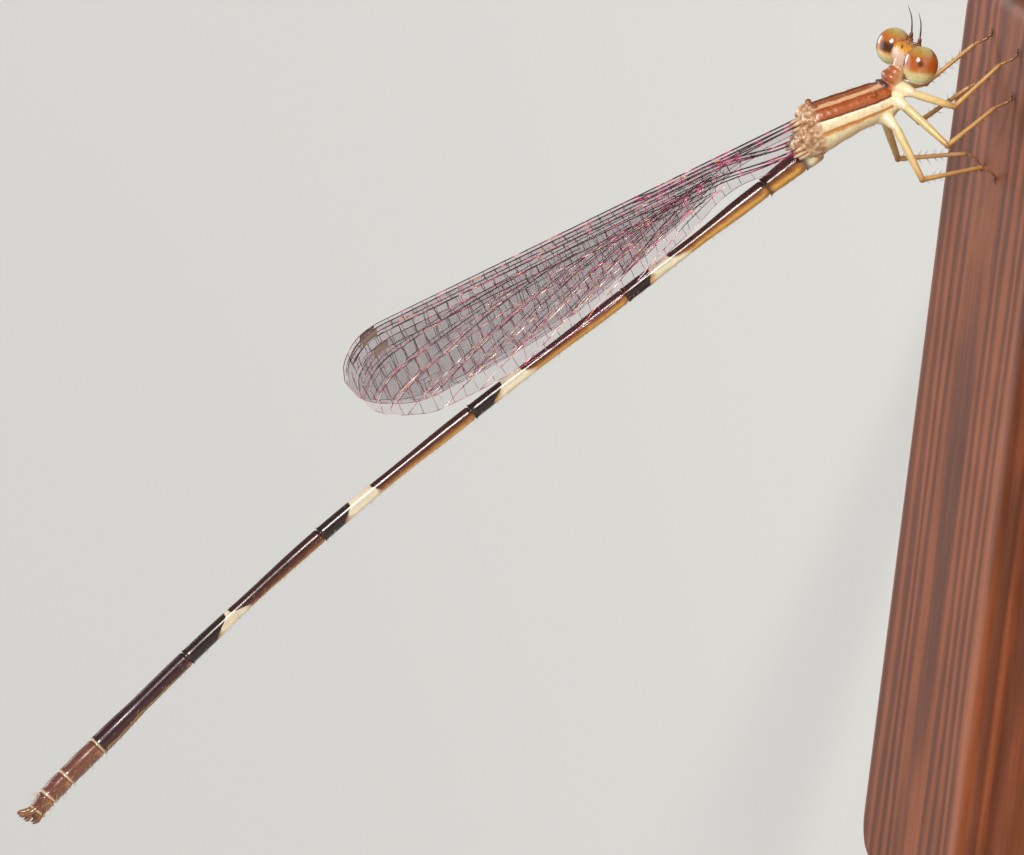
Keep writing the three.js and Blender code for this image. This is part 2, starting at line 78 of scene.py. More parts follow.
def clamp(value, low=0.0, high=1.0):
    return max(low, min(high, value))


def smooth(share):
    share = clamp(share)
    return share * share * (3 - 2 * share)


def lerp(a, b, share):
    return a + (b - a) * share


def eased(knots, place):
    for (x0, y0), (x1, y1) in zip(knots, knots[1:]):
        if place <= x1:
            return lerp(y0, y1, smooth((place - x0) / (x1 - x0)))
    return knots[-1][1]


def straight(knots, place):
    for (x0, y0), (x1, y1) in zip(knots, knots[1:]):
        if place <= x1:
            return lerp(y0, y1, (place - x0) / (x1 - x0))
    return knots[-1][1]


def hermite(start, first, end, last, t):
    t2, t3 = t ** 2, t ** 3
    fromStart = start * (2 * t3 - 3 * t2 + 1) + first * (t3 - 2 * t2 + t)
    return fromStart + end * (3 * t2 - 2 * t3) + last * (t3 - t2)


# A smooth curve through the knots
def flowing(knots, place):
    for k in range(len(knots) - 1):
        if place <= knots[k + 1][0]:
            break
    (x0, y0), (x1, y1) = knots[k], knots[k + 1]
    before = knots[max(k - 1, 0)]
    after = knots[min(k + 2, len(knots) - 1)]
    first = (y1 - before[1]) / (x1 - before[0]) * (x1 - x0)
    last = (after[1] - y0) / (after[0] - x0) * (x1 - x0)
    return hermite(y0, first, y1, last, clamp((place - x0) / (x1 - x0)))


def bell(value, centre, width):
    return math.exp(-((value - centre) / width) ** 2)


def localFrame(centre, pitch, roll=0.0, yaw=0.0):
    turn = Matrix.Rotation(math.radians(roll), 4, "X") @ Matrix.Rotation(math.radians(yaw), 4, "Z")
    return Matrix.Translation(centre) @ turn @ Matrix.Rotation(math.radians(pitch), 4, "Y")


def linked(name, data):
    made = bpy.data.objects.new(name, data)
    bpy.context.scene.collection.objects.link(made)
    return made


bothSides = (("Left", 1), ("Right", -1))

# Camera and light

view = {
    "azimuth": 12,              # degrees round the insect from its right flank
    "elevation": 14,
    "roll": 4,                  # the insect's ahead is the picture's up, less this
    "aim": (-14.15, 0, 17.39),  # mm
    "shownWidth": 39.08,
    "distance": 600,
    "sensor": 36,
}
azimuth, elevation, roll = (math.radians(view[key]) for key in ("azimuth", "elevation", "roll"))
toCamera = Vector((
    math.sin(azimuth) * math.cos(elevation),
    -math.cos(azimuth) * math.cos(elevation),
    math.sin(elevation),
))
level = Vector((math.cos(azimuth), math.sin(azimuth), 0))
upward = toCamera.cross(level)
pictureRight = math.sin(roll) * level - math.cos(roll) * upward
pictureUp = math.cos(roll) * level + math.sin(roll) * upward


def placeCamera():
    lens = bpy.data.cameras.new("photoCamera")
    lens.sensor_width = view["sensor"]
    lens.lens = view["sensor"] * view["distance"] / view["shownWidth"]
    lens.clip_start = 0.05
    lens.clip_end = 20
    camera = linked("photoCamera", lens)
    turn = Matrix((pictureRight, pictureUp, toCamera)).transposed().to_4x4()
    place = toRow @ (Vector(view["aim"]) + toCamera * view["distance"])
    camera.matrix_world = Matrix.Translation(place) @ turn
    bpy.context.scene.camera = camera


# Each light: how far along the picture's right, its up and towards the camera, in metres, then size and watts
lights = {
    "key": {"at": (-0.12, 0.22, 0.46), "size": 0.13, "watts": 2.6, "tint": (1.0, 0.97, 0.92)},
    "fill": {"at": (0.10, -0.50, 0.45), "size": 0.60, "watts": 0.9, "tint": (1.0, 0.98, 0.95)},
    "rim": {"at": (-0.50, 0.25, -0.35), "size": 0.30, "watts": 1.3, "tint": (1.0, 0.98, 0.95)},
    "overhead": {"at": (-1.30, 0.10, -0.20), "size": 1.60, "watts": 8.0, "tint": (1.0, 1.0, 1.0)},
}
roomLight = {"colour": (0.86, 0.85, 0.83), "strength": 0.29}


def placeLights():
    aim = toRow @ Vector(view["aim"])
    for name, light in lights.items():
        lamp = bpy.data.lights.new(name, "AREA")
        lamp.shape = "DISK"
        lamp.size = light["size"]
        lamp.energy = light["watts"]
        lamp.color = light["tint"]
        holder = linked(name, lamp)
        across, high, near = light["at"]
        offset = pictureRight * across + pictureUp * high + toCamera * near
        holder.location = aim + offset
        holder.rotation_mode = "QUATERNION"
        holder.rotation_quaternion = offset.to_track_quat("Z", "Y")
    world = bpy.data.worlds.new("softRoom")
    world.use_nodes = True
    background = world.node_tree.nodes["Background"]
    background.inputs["Color"].default_value = (*roomLight["colour"], 1)
    background.inputs["Strength"].default_value = roomLight["strength"]
    bpy.context.scene.world = world
    bpy.context.scene.view_settings.view_transform = "Standard"


placeCamera()
placeLights()
print("damselfly: camera and lights placed")


# Materials

def paint(red, green, blue):
    def toLinear(channel):
        value = channel / 255
        return value / 12.92 if value <= 0.04045 else ((value + 0.055) / 1.055) ** 2.4
    return (toLinear(red), toLinear(green), toLinear(blue), 1.0)


def addNode(tree, kind, inputs=None, **settings):
    made = tree.nodes.new(kind)
    for key, value in settings.items():
        setattr(made, key, value)
    for key, value in (inputs or {}).items():
        if isinstance(value, bpy.types.NodeSocket):
            tree.links.new(value, made.inputs[key])
        else:
            made.inputs[key].default_value = value
    return made


def sums(tree, operation, first, second=0.0, third=0.0):
    return addNode(tree, "ShaderNodeMath", {0: first, 1: second, 2: third}, operation=operation).outputs[0]


# Each stop: its place, red, green and blue
def rampOf(tree, value, stops, easing="LINEAR"):
    ramp = addNode(tree, "ShaderNodeValToRGB", {"Fac": value})
    ramp.color_ramp.interpolation = easing
    elements = ramp.color_ramp.elements
    while len(elements) < len(stops):
        elements.new(0.5)
    for element, (position, *colour) in zip(elements, stops):
        element.position = position
        element.color = paint(*colour)
    return ramp.outputs["Color"]


def mixed(tree, share, first, second, blend="MIX"):
    mix = addNode(tree, "ShaderNodeMix", data_type="RGBA", blend_type=blend)
    for index, value in ((0, share), (6, first), (7, second)):
        if isinstance(value, bpy.types.NodeSocket):
            tree.links.new(value, mix.inputs[index])
        else:
            mix.inputs[index].default_value = value
    return mix.outputs[2]


def edge(tree, value, low, high):
    step = addNode(tree, "ShaderNodeMapRange", {"Value": value, "From Min": low, "From Max": high})
    step.interpolation_type = "SMOOTHSTEP"
    return step.outputs["Result"]


def spread(tree, value, low, high):
    step = addNode(tree, "ShaderNodeMapRange", {"Value": value, "From Min": low, "From Max": high})
    return step.outputs["Result"]


def product(tree, first, *others):
    for other in others:
        first = sums(tree, "MULTIPLY", first, other)
    return first


# Another colour over the first, as strong as the mask times the share
def laidOver(tree, colour, mask, share, over):
    return mixed(tree, product(tree, mask, share), colour, over)


def noiseHere(tree, scale, detail=3.0):
    where = addNode(tree, "ShaderNodeTexCoord").outputs["Object"]
    noise = addNode(tree, "ShaderNodeTexNoise", {"Vector": where, "Scale": scale, "Detail": detail})
    return noise.outputs["Fac"]


# Noise as a drift about nought
def drift(tree, noise, amount):
    return sums(tree, "MULTIPLY_ADD", noise, amount, -amount / 2)


def attributeParts(tree, name):
    holder = addNode(tree, "ShaderNodeAttribute", attribute_name=name)
    return addNode(tree, "ShaderNodeSeparateXYZ", {"Vector": holder.outputs["Vector"]}).outputs


# Colour that wanders a little and a finely pitted surface, in millimetres
def makeCuticleGroup():
    group = bpy.data.node_groups.new("cuticle", "ShaderNodeTree")
    face = group.interface
    face.new_socket("Colour", in_out="INPUT", socket_type="NodeSocketColor")
    for name, value in (("Blotch per mm", 2.0), ("Blotch", 0.25), ("Pits per mm", 14.0), ("Pit depth", 0.3)):
        socket = face.new_socket(name, in_out="INPUT", socket_type="NodeSocketFloat")
        socket.default_value = value
    for name, kind in (("Colour", "Color"), ("Wander", "Float"), ("Height", "Float"), ("Normal", "Vector")):
        face.new_socket(name, in_out="OUTPUT", socket_type="NodeSocket" + kind)
    given = group.nodes.new("NodeGroupInput").outputs
    out = group.nodes.new("NodeGroupOutput").inputs
    where = addNode(group, "ShaderNodeTexCoord").outputs["Object"]
    inMillimetres = addNode(group, "ShaderNodeVectorMath", {0: where}, operation="SCALE")
    inMillimetres.inputs["Scale"].default_value = 1 / mm
    spot = inMillimetres.outputs[0]
    blotches = addNode(group, "ShaderNodeTexNoise", {"Vector": spot, "Scale": given["Blotch per mm"]})
    blotches.inputs["Detail"].default_value = 4
    wander = sums(group, "SUBTRACT", blotches.outputs["Fac"], 0.5)
    lift = sums(group, "MULTIPLY_ADD", sums(group, "MULTIPLY", wander, given["Blotch"]), 2.4, 1.0)
    tint = addNode(group, "ShaderNodeCombineXYZ", {"X": lift, "Y": lift, "Z": lift}).outputs[0]
    group.links.new(mixed(group, 1.0, given["Colour"], tint, "MULTIPLY"), out["Colour"])
    group.links.new(wander, out["Wander"])
    pits = addNode(group, "ShaderNodeTexVoronoi", {"Vector": spot, "Scale": given["Pits per mm"]})
    grain = addNode(group, "ShaderNodeTexNoise", {"Vector": spot, "Scale": 9.0, "Detail": 3.0})
    height = sums(group, "ADD", pits.outputs["Distance"], grain.outputs["Fac"])
    group.links.new(height, out["Height"])
    bump = addNode(group, "ShaderNodeBump", {"Height": height, "Strength": given["Pit depth"]})
    bump.inputs["Distance"].default_value = 0.02 * mm
    group.links.new(bump.outputs["Normal"], out["Normal"])
    return group


cuticleGroup = makeCuticleGroup()


# Softness is how much light goes in below the surface
def startMaterial(name, roughness, coat=0.0, coatRoughness=0.03, softness=0.0, more=None):
    material = bpy.data.materials.new(name)
    material.use_nodes = True
    shader = material.node_tree.nodes["Principled BSDF"]
    settings = {"Roughness": roughness, "Coat Weight": coat, "Coat Roughness": coatRoughness}
    settings.update({"Subsurface Weight": softness, "Subsurface Scale": 0.4 * mm, **(more or {})})
    for key, value in settings.items():
        shader.inputs[key].default_value = value
    return material, material.node_tree, shader


# Joins a colour to the shader through the cuticle group
def coverWith(tree, shader, colour, blotchPerMm, blotch, pitsPerMm, pitDepth, roughness=None):
    cover = addNode(tree, "ShaderNodeGroup", node_tree=cuticleGroup)
    values = {"Blotch per mm": blotchPerMm, "Blotch": blotch, "Pits per mm": pitsPerMm, "Pit depth": pitDepth}
    for key, value in values.items():
        cover.inputs[key].default_value = value
    if isinstance(colour, bpy.types.NodeSocket):
        tree.links.new(colour, cover.inputs["Colour"])
    else:
        cover.inputs["Colour"].default_value = colour
    tree.links.new(cover.outputs["Colour"], shader.inputs["Base Color"])
    tree.links.new(cover.outputs["Normal"], shader.inputs["Normal"])
    if roughness:
        low, high = roughness
        uneven = sums(tree, "MULTIPLY_ADD", cover.outputs["Wander"], (high - low) * 2, (low + high) / 2)
        tree.links.new(uneven, shader.inputs["Roughness"])
    return cover


# Mesh making

# Faces between rings of points, closed at both ends by poles, which are the last two points
def ringFaces(rings, sides):
    faces = []
    for i in range(rings - 1):
        for j in range(sides):
            a = i * sides + j
            b = i * sides + (j + 1) % sides
            faces.append((a, b, b + sides, a + sides))
    pole = rings * sides
    for j in range(sides):
        k = (j + 1) % sides
        faces.append((pole, k, j))
        faces.append((pole + 1, pole - sides + j, pole - sides + k))
    return faces


def closedTube(sides, steps, place):
    turns = [2 * math.pi * j / sides for j in range(sides)]
    verts = [place(i / steps, turn, 1.0) for i in range(steps + 1) for turn in turns]
    verts += [place(0.0, 0.0, 0.0), place(1.0, 0.0, 0.0)]
    return outward(verts, ringFaces(steps + 1, sides))


# Turns the faces over if the shape is inside out
def outward(verts, faces):
    volume = 0.0
    for face in faces:
        for k in range(1, len(face) - 1):
            volume += verts[face[0]].dot(verts[face[k]].cross(verts[face[k + 1]]))
    if volume < 0:
        faces = [tuple(reversed(face)) for face in faces]
    return verts, faces


def ellipsoid(centre, semi, frame=Matrix.Identity(4), sides=24, rows=14):
    def place(share, angle, reach):
        tilt = math.pi * clamp(share, 0.002, 0.998)
        ring = math.sin(tilt) * reach
        point = Vector((ring * math.cos(angle), ring * math.sin(angle), -math.cos(tilt)))
        return frame @ (Vector(centre) + Vector([point[k] * semi[k] for k in range(3)]))
    return closedTube(sides, rows, place)


# A round limb through points, with knots of [share of the length, radius]
def limb(points, radii, sides=16, steps=24, flat=1.0, sideways=Vector((0, 1, 0))):
    reach = [0.0]
    for start, end in zip(points, points[1:]):
        reach.append(reach[-1] + (end - start).length)

    def along(share):
        target = clamp(share) * reach[-1]
        for k in range(len(points) - 1):
            if target <= reach[k + 1] or k == len(points) - 2:
                return points[k].lerp(points[k + 1], (target - reach[k]) / (reach[k + 1] - reach[k]))

    def place(share, angle, size):
        tangent = (along(share + 0.01) - along(share - 0.01)).normalized()
        across = (sideways - tangent * sideways.dot(tangent)).normalized()
        over = tangent.cross(across)
        radius = eased(radii, share) * size
        return along(share) + across * (radius * math.cos(angle)) + over * (radius * flat * math.sin(angle))
    return closedTube(sides, steps, place)


def curved(points, count=8):
    samples = []
    for k in range(len(points) - 1):
        before = points[max(k - 1, 0)]
        after = points[min(k + 2, len(points) - 1)]
        start, end = points[k], points[k + 1]
        for step in range(count):
            t = step / count
            samples.append(0.5 * (
                2 * start + (end - before) * t
                + (2 * before - 5 * start + 4 * end - after) * t ** 2
                + (3 * start - before - 3 * end + after) * t ** 3
            ))
    return samples + [points[-1]]


def combine(parts):
    verts = []
    faces = []
    slots = []
    for slot, (partVerts, partFaces) in parts:
        start = len(verts)
        verts += partVerts
        faces += [tuple(start + i for i in face) for face in partFaces]
        slots += [slot] * len(partFaces)
    return verts, faces, slots


def joined(parts):
    return combine([(0, part) for part in parts])[:2]


def makePiece(name, verts, faces, finishes, slots=None, cornerVectors=None, pointVectors=None):
    mesh = bpy.data.meshes.new(name)
    mesh.from_pydata([toRow @ point for point in verts], [], faces)
    for finish in finishes:
        mesh.materials.append(finish)
    if slots:
        mesh.polygons.foreach_set("material_index", slots)
    for vectors, domain in ((cornerVectors, "CORNER"), (pointVectors, "POINT")):
        for key, values in (vectors or {}).items():
            layer = mesh.attributes.new(key, "FLOAT_VECTOR", domain)
            layer.data.foreach_set("vector", [number for value in values for number in value])
    mesh.shade_smooth()
    mesh.update()
    return linked(name, mesh)


def mount(piece, slot, *nodes):
    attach(piece, "root")
    if nodes:
        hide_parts(*nodes)


# Geometry Nodes: shared building and running

def startTree(name, sockets):
    tree = bpy.data.node_groups.new(name, "GeometryNodeTree")
    tree.interface.new_socket("Geometry", in_out="INPUT", socket_type="NodeSocketGeometry")
    for key, kind, value in sockets:
        socket = tree.interface.new_socket(key, in_out="INPUT", socket_type="NodeSocket" + kind)
        if value is not None:
            socket.default_value = value
    tree.interface.new_socket("Geometry", in_out="OUTPUT", socket_type="NodeSocketGeometry")
    return tree, tree.nodes.new("NodeGroupInput").outputs, tree.nodes.new("NodeGroupOutput").inputs


def endTree(tree, geometry, finish, out):
    real = addNode(tree, "GeometryNodeRealizeInstances", {"Geometry": geometry})
    soft = addNode(tree, "GeometryNodeSetShadeSmooth", {"Geometry": real.outputs["Geometry"]})
    painted = addNode(tree, "GeometryNodeSetMaterial", {"Geometry": soft.outputs[0], "Material": finish})
    tree.links.new(painted.outputs["Geometry"], out["Geometry"])
    return tree


# Seeds is a mesh in millimetres with its own attributes; the grown mesh is brought to the row's frame
def grow(name, tree, values, verts, edges, numbers):
    seeds = bpy.data.meshes.new(name + "Seeds")
    seeds.from_pydata(verts, edges, [])
    for key, (kind, field, data) in numbers.items():
        seeds.attributes.new(key, kind, "POINT").data.foreach_set(field, data)
    holder = linked(name + "Seeds", seeds)
    modifier = holder.modifiers.new("grown", "NODES")
    modifier.node_group = tree
    for item in tree.interface.items_tree:
        if item.in_out == "INPUT" and item.name in values:
            modifier[item.identifier] = values[item.name]
    shaped = holder.evaluated_get(bpy.context.evaluated_depsgraph_get())
    mesh = bpy.data.meshes.new_from_object(shaped)
    mesh.name = name
    mesh.transform(toRow)
    holder.modifiers.clear()
    bpy.data.objects.remove(holder)
    return linked(name, mesh)


# Lines of a wing or a thread, given a round section as thick as each point says
def makeVeinTree():
    tree, given, out = startTree("veins", [
        ("Sides", "Int", 6),
        ("Thickness", "Float", 1.0),
        ("Finish", "Material", None),
    ])
    lines = addNode(tree, "GeometryNodeMeshToCurve", {"Mesh": given["Geometry"]})
    ring = addNode(tree, "GeometryNodeCurvePrimitiveCircle", {"Resolution": given["Sides"], "Radius": 1.0})
    thick = addNode(tree, "GeometryNodeInputNamedAttribute", {"Name": "thickness"}, data_type="FLOAT")
    scaled = sums(tree, "MULTIPLY", thick.outputs["Attribute"], given["Thickness"])
    tube = addNode(tree, "GeometryNodeCurveToMesh", {
        "Curve": lines.outputs["Curve"],
        "Profile Curve": ring.outputs["Curve"],
        "Scale": scaled,
        "Fill Caps": True,
    })
    return endTree(tree, tube.outputs["Mesh"], given["Finish"], out)


# Bent, tapered bristles that stand on points, along each point's lean and as large as its size says
def makeBristleTree():
    tree, given, out = startTree("bristles", [
        ("Bend", "Float", 0.18),
        ("Unevenness", "Float", 0.2),
        ("Seed", "Int", 3),
        ("Finish", "Material", None),
    ])
    bend = addNode(tree, "ShaderNodeCombineXYZ", {"X": given["Bend"], "Y": 0.0, "Z": 1.0})
    stem = addNode(tree, "GeometryNodeCurveQuadraticBezier", {
        "Resolution": 3,
        "Start": (0, 0, -0.04),
        "Middle": (0, 0, 0.5),
        "End": bend.outputs[0],
    })
    share = addNode(tree, "GeometryNodeSplineParameter")
    taper = sums(tree, "MULTIPLY_ADD", share.outputs["Factor"], -0.85, 1.0)
    ring = addNode(tree, "GeometryNodeCurvePrimitiveCircle", {"Resolution": 4, "Radius": 1.0})
    bristle = addNode(tree, "GeometryNodeCurveToMesh", {
        "Curve": stem.outputs["Curve"],
        "Profile Curve": ring.outputs["Curve"],
        "Scale": taper,
        "Fill Caps": True,
    })
    lean = addNode(tree, "GeometryNodeInputNamedAttribute", {"Name": "lean"}, data_type="FLOAT_VECTOR")
    way = {"Vector": lean.outputs["Attribute"]}
    turned = addNode(tree, "FunctionNodeAlignRotationToVector", way, axis="Z")
    size = addNode(tree, "GeometryNodeInputNamedAttribute", {"Name": "size"}, data_type="FLOAT_VECTOR")
    less = sums(tree, "SUBTRACT", 1.0, given["Unevenness"])
    more = sums(tree, "ADD", 1.0, given["Unevenness"])
    limits = {2: less, 3: more, "Seed": given["Seed"]}
    chance = addNode(tree, "FunctionNodeRandomValue", limits, data_type="FLOAT")
    scale = addNode(tree, "ShaderNodeVectorMath", {0: size.outputs["Attribute"]}, operation="SCALE")
    tree.links.new(chance.outputs[1], scale.inputs["Scale"])
    placed = addNode(tree, "GeometryNodeInstanceOnPoints", {
        "Points": given["Geometry"],
        "Instance": bristle.outputs["Mesh"],
        "Rotation": turned.outputs["Rotation"],
        "Scale": scale.outputs[0],
    })
    return endTree(tree, placed.outputs["Instances"], given["Finish"], out)


veinTree = makeVeinTree()
bristleTree = makeBristleTree()


# Each bristle: its foot, the way it leans, its radius and its length
def growBristles(name, bristles, finish, bend, seed):
    values = {"Bend": bend, "Seed": seed, "Finish": finish}
    return grow(name, bristleTree, values, [b[0] for b in bristles], [], {
        "lean": ("FLOAT_VECTOR", "vector", [number for b in bristles for number in b[1]]),
        "size": ("FLOAT_VECTOR", "vector", [number for b in bristles for number in (b[2], b[2], b[3])]),
    })


# Each line: its points and the radius at each of them
def growLines(name, lines, finish, sides=6):
    verts = []
    edges = []
    radii = []
    for points, thickness in lines:
        start = len(verts)
        verts += points
        edges += [(start + k, start + k + 1) for k in range(len(points) - 1)]
        radii += thickness
    values = {"Sides": sides, "Thickness": 1.0, "Finish": finish}
    return grow(name, veinTree, values, verts, edges, {"thickness": ("FLOAT", "value", radii)})


# Abdomen

abdomen = {
    "start": (-2.5, 0, 6.83),
    "depthShare": 1.04,
    "rimRise": 0.028,
    "rimFrom": 0.16,             # mm before the hind end of a segment
    "softDip": 0.05,             # depth of the soft ring between two segments
    "softLength": 0.10,
    "rowsPerMm": 8,
    "rimRows": [0.02, 0.05, 0.08, 0.12],       # mm from each end of a segment
    "tuckRows": [-0.4, -0.3, -0.2, -0.1],      # ahead of the first segment, inside the thorax
    "tuck": 0.6,                               # how much narrower it gets there
    "sides": 48,
    "flankFold": 0.018,
    # each segment: length, slope, half width in front, at the middle and behind
    "segments": [
        (0.75, 49.0, 0.46, 0.48, 0.44),
        (1.68, 47.5, 0.43, 0.41, 0.37),
        (6.77, 47.3, 0.34, 0.26, 0.29),
        (7.35, 47.6, 0.29, 0.25, 0.29),
        (7.40, 45.7, 0.29, 0.25, 0.29),
        (6.92, 42.0, 0.29, 0.26, 0.31),
        (4.79, 39.8, 0.32, 0.33, 0.39),
        (1.70, 40.0, 0.37, 0.385, 0.37),
        (1.00, 38.0, 0.37, 0.38, 0.36),
        (0.72, 33.0, 0.35, 0.34, 0.30),
    ],
    # pale ring of a segment: front edge above and below, hind edge above and below, as shares of its length
    "rings": {
        3: (0.67, 0.52, 0.81, 0.84),
        4: (0.66, 0.57, 0.79, 0.87),
        5: (0.64, 0.60, 0.79, 0.86),
        6: (0.655, 0.53, 0.69, 0.80),
        8: (-0.05, -0.05, 0.020, 0.030),
        9: (-0.05, -0.05, 0.035, 0.05),
        10: (-0.05, -0.05, 0.05, 0.07),
    },
    # how much the gold of the flank spreads up each segment, from the first one on
    "goldRise": [(1.5, 0.12), (3.5, 0.11), (4.5, 0.06), (5.5, -0.03), (6.5, -0.15), (7.5, 0.0), (11, 0.0)],
}


def abdomenJoints():
    joint = Vector(abdomen["start"])
    joints = [joint.copy()]
    for length, slope, *rest in abdomen["segments"]:
        angle = math.radians(slope)
        joint = joint + Vector((-math.cos(angle) * length, 0, math.sin(angle) * length))
        joints.append(joint)
    return joints


joints = abdomenJoints()


def abdomenLine(number, share):
    start, end = joints[number - 1], joints[number]
    length = (end - start).length
    before = joints[number - 2] if number > 1 else start - (end - start)
    after = joints[number + 1] if number < len(joints) - 1 else end + (end - start)
    first = ((start - before).normalized() + (end - start).normalized()).normalized() * length
    last = ((end - start).normalized() + (after - end).normalized()).normalized() * length
    point = hermite(start, first, end, last, share)
    t2 = share ** 2
    tangent = start * (6 * t2 - 6 * share) + first * (3 * t2 - 4 * share + 1) + end * (6 * share - 6 * t2)
    tangent = (tangent + last * (3 * t2 - 2 * share)).normalized()
    return point, tangent


def segmentRadius(number, share):
    length, slope, front, middle, hind = abdomen["segments"][number - 1]
    radius = eased([(0, front), (0.12, front), (0.5, middle), (0.9, hind), (1, hind)], share)
    fromFront = share * length
    fromHind = (1 - share) * length
    if number > 1:
        radius -= abdomen["softDip"] * (1 - smooth(fromFront / abdomen["softLength"]))
    radius += abdomen["rimRise"] * smooth(1 - fromHind / abdomen["rimFrom"])
    return radius * (1 - abdomen["tuck"] * smooth(share / abdomen["tuckRows"][0]))


# Around runs from 0 along the back to 1 along the belly
def abdomenPoint(number, share, angle, reach=1.0):
    point, tangent = abdomenLine(number, share)
    over = Vector((0, 1, 0)).cross(tangent) * -1
    if over.x < 0:
        over = -over
    around = abs((angle / math.pi + 1) % 2 - 1)
    radius = segmentRadius(number, share) * reach
    fold = bell(around, 0.8, 0.035) * abdomen["flankFold"] * reach
    flatBelly = 1 - 0.10 * smooth((around - 0.82) / 0.18)
    side = math.sin(angle) * (radius - fold)
    high = math.cos(angle) * (radius * abdomen["depthShare"] * flatBelly - fold)
    return point + Vector((0, side, 0)) + over * high


def ringEdges(number, share, around):
    length = abdomen["segments"][number - 1][0]
    if number not in abdomen["rings"]:
        return -1.0, -1.0
    frontTop, frontLow, hindTop, hindLow = abdomen["rings"][number]
    slant = smooth((around - 0.2) / 0.5)
    front = lerp(frontTop, frontLow, slant)
    hind = lerp(hindTop, hindLow, slant)
    spike = 0.25 * bell(around, 1.0, 0.07) if 3 < number < 7 else 0.0
    inRing = min(share - front + spike * 0.3, hind - share) * length
    return inRing, (share - hind) * length if number < 7 else -1.0


def abdomenSkin():
    sides = abdomen["sides"]
    rows = []
    for number, segment in enumerate(abdomen["segments"], 1):
        length = segment[0]
        count = max(8, round(length * abdomen["rowsPerMm"]))
        shares = [k / count for k in range(count + 1)]
        for end in abdomen["rimRows"]:
            shares += [end / length, 1 - end / length]
        rows += [(number, share) for share in sorted(set(shares))]
    rows = [(1, share) for share in abdomen["tuckRows"]] + rows
    verts = []
    places = []
    marks = []
    for number, share in rows:
        for j in range(sides):
            angle = 2 * math.pi * j / sides
            around = abs((angle / math.pi + 1) % 2 - 1)
            verts.append(abdomenPoint(number, share, angle))
            inRing, inBand = ringEdges(number, share, around)
            length = abdomen["segments"][number - 1][0]
            tone = around + straight(abdomen["goldRise"], number + clamp(share))
            places.append(Vector((number + clamp(share, 0, 0.9999), tone, share * length)))
            marks.append(Vector((inRing, inBand, (1 - share) * length)))
    for row in (0, len(rows) - 1):
        verts.append(abdomenPoint(*rows[row], 0, 0))
        places.append(places[row * sides])
        marks.append(marks[row * sides])
    numbers = [number for number, share in rows[:-1] for j in range(sides)]
    numbers += [rows[0][0], rows[-1][0]] * sides
    verts, faces = outward(verts, ringFaces(len(rows), sides))
    return verts, faces, numbers, places, marks


# Tail end: forked upper claspers that point up and back, with small teeth, and short lower ones

claspers = {
    "upper": [(0, 0.15, 0.10), (-0.30, 0.17, 0.22), (-0.62, 0.20, 0.50)],
    "upperRadius": [(0, 0.15), (0.5, 0.125), (0.85, 0.10), (1, 0.04)],
    "fork": [(-0.28, 0.17, 0.18), (-0.52, 0.16, 0.10), (-0.66, 0.13, 0.16)],
    "forkRadius": [(0, 0.10), (0.6, 0.07), (1, 0.02)],
    "lower": [(0, 0.15, -0.12), (-0.34, 0.17, -0.20), (-0.56, 0.15, -0.14)],
    "lowerRadius": [(0, 0.14), (0.6, 0.10), (1, 0.03)],
    "teeth": 5,
}


def tailParts():
    point, tangent = abdomenLine(10, 0.86)
    over = tangent.cross(Vector((0, 1, 0)))
    if over.x < 0:
        over = -over

    def toTail(offset, side):
        return point - tangent * offset[0] + Vector((0, side * offset[1], 0)) + over * offset[2]
    parts = []
    for side in (1, -1):
        for key, sides in (("upper", 14), ("fork", 10), ("lower", 12)):
            path = curved([toTail(offset, side) for offset in claspers[key]], 6)
            parts.append(limb(path, claspers[key + "Radius"], sides, 18))
        for k in range(claspers["teeth"]):
            share = 0.35 + 0.12 * k
            root = toTail(claspers["upper"][1], side).lerp(toTail(claspers["upper"][2], side), share)
            tip = root + tangent * 0.06 + Vector((0, side * 0.10, 0)) - over * 0.05
            parts.append(limb([root, root.lerp(tip, 0.5), tip], [(0, 0.045), (1, 0.008)], 8, 6))
    stub = toTail((-0.14, 0, 0.0), 1)
    parts.append(ellipsoid(stub, (0.26, 0.26, 0.24)))
    return parts


print("damselfly: abdomen laid out")


# Thorax, prothorax, head and hips: one fused skin

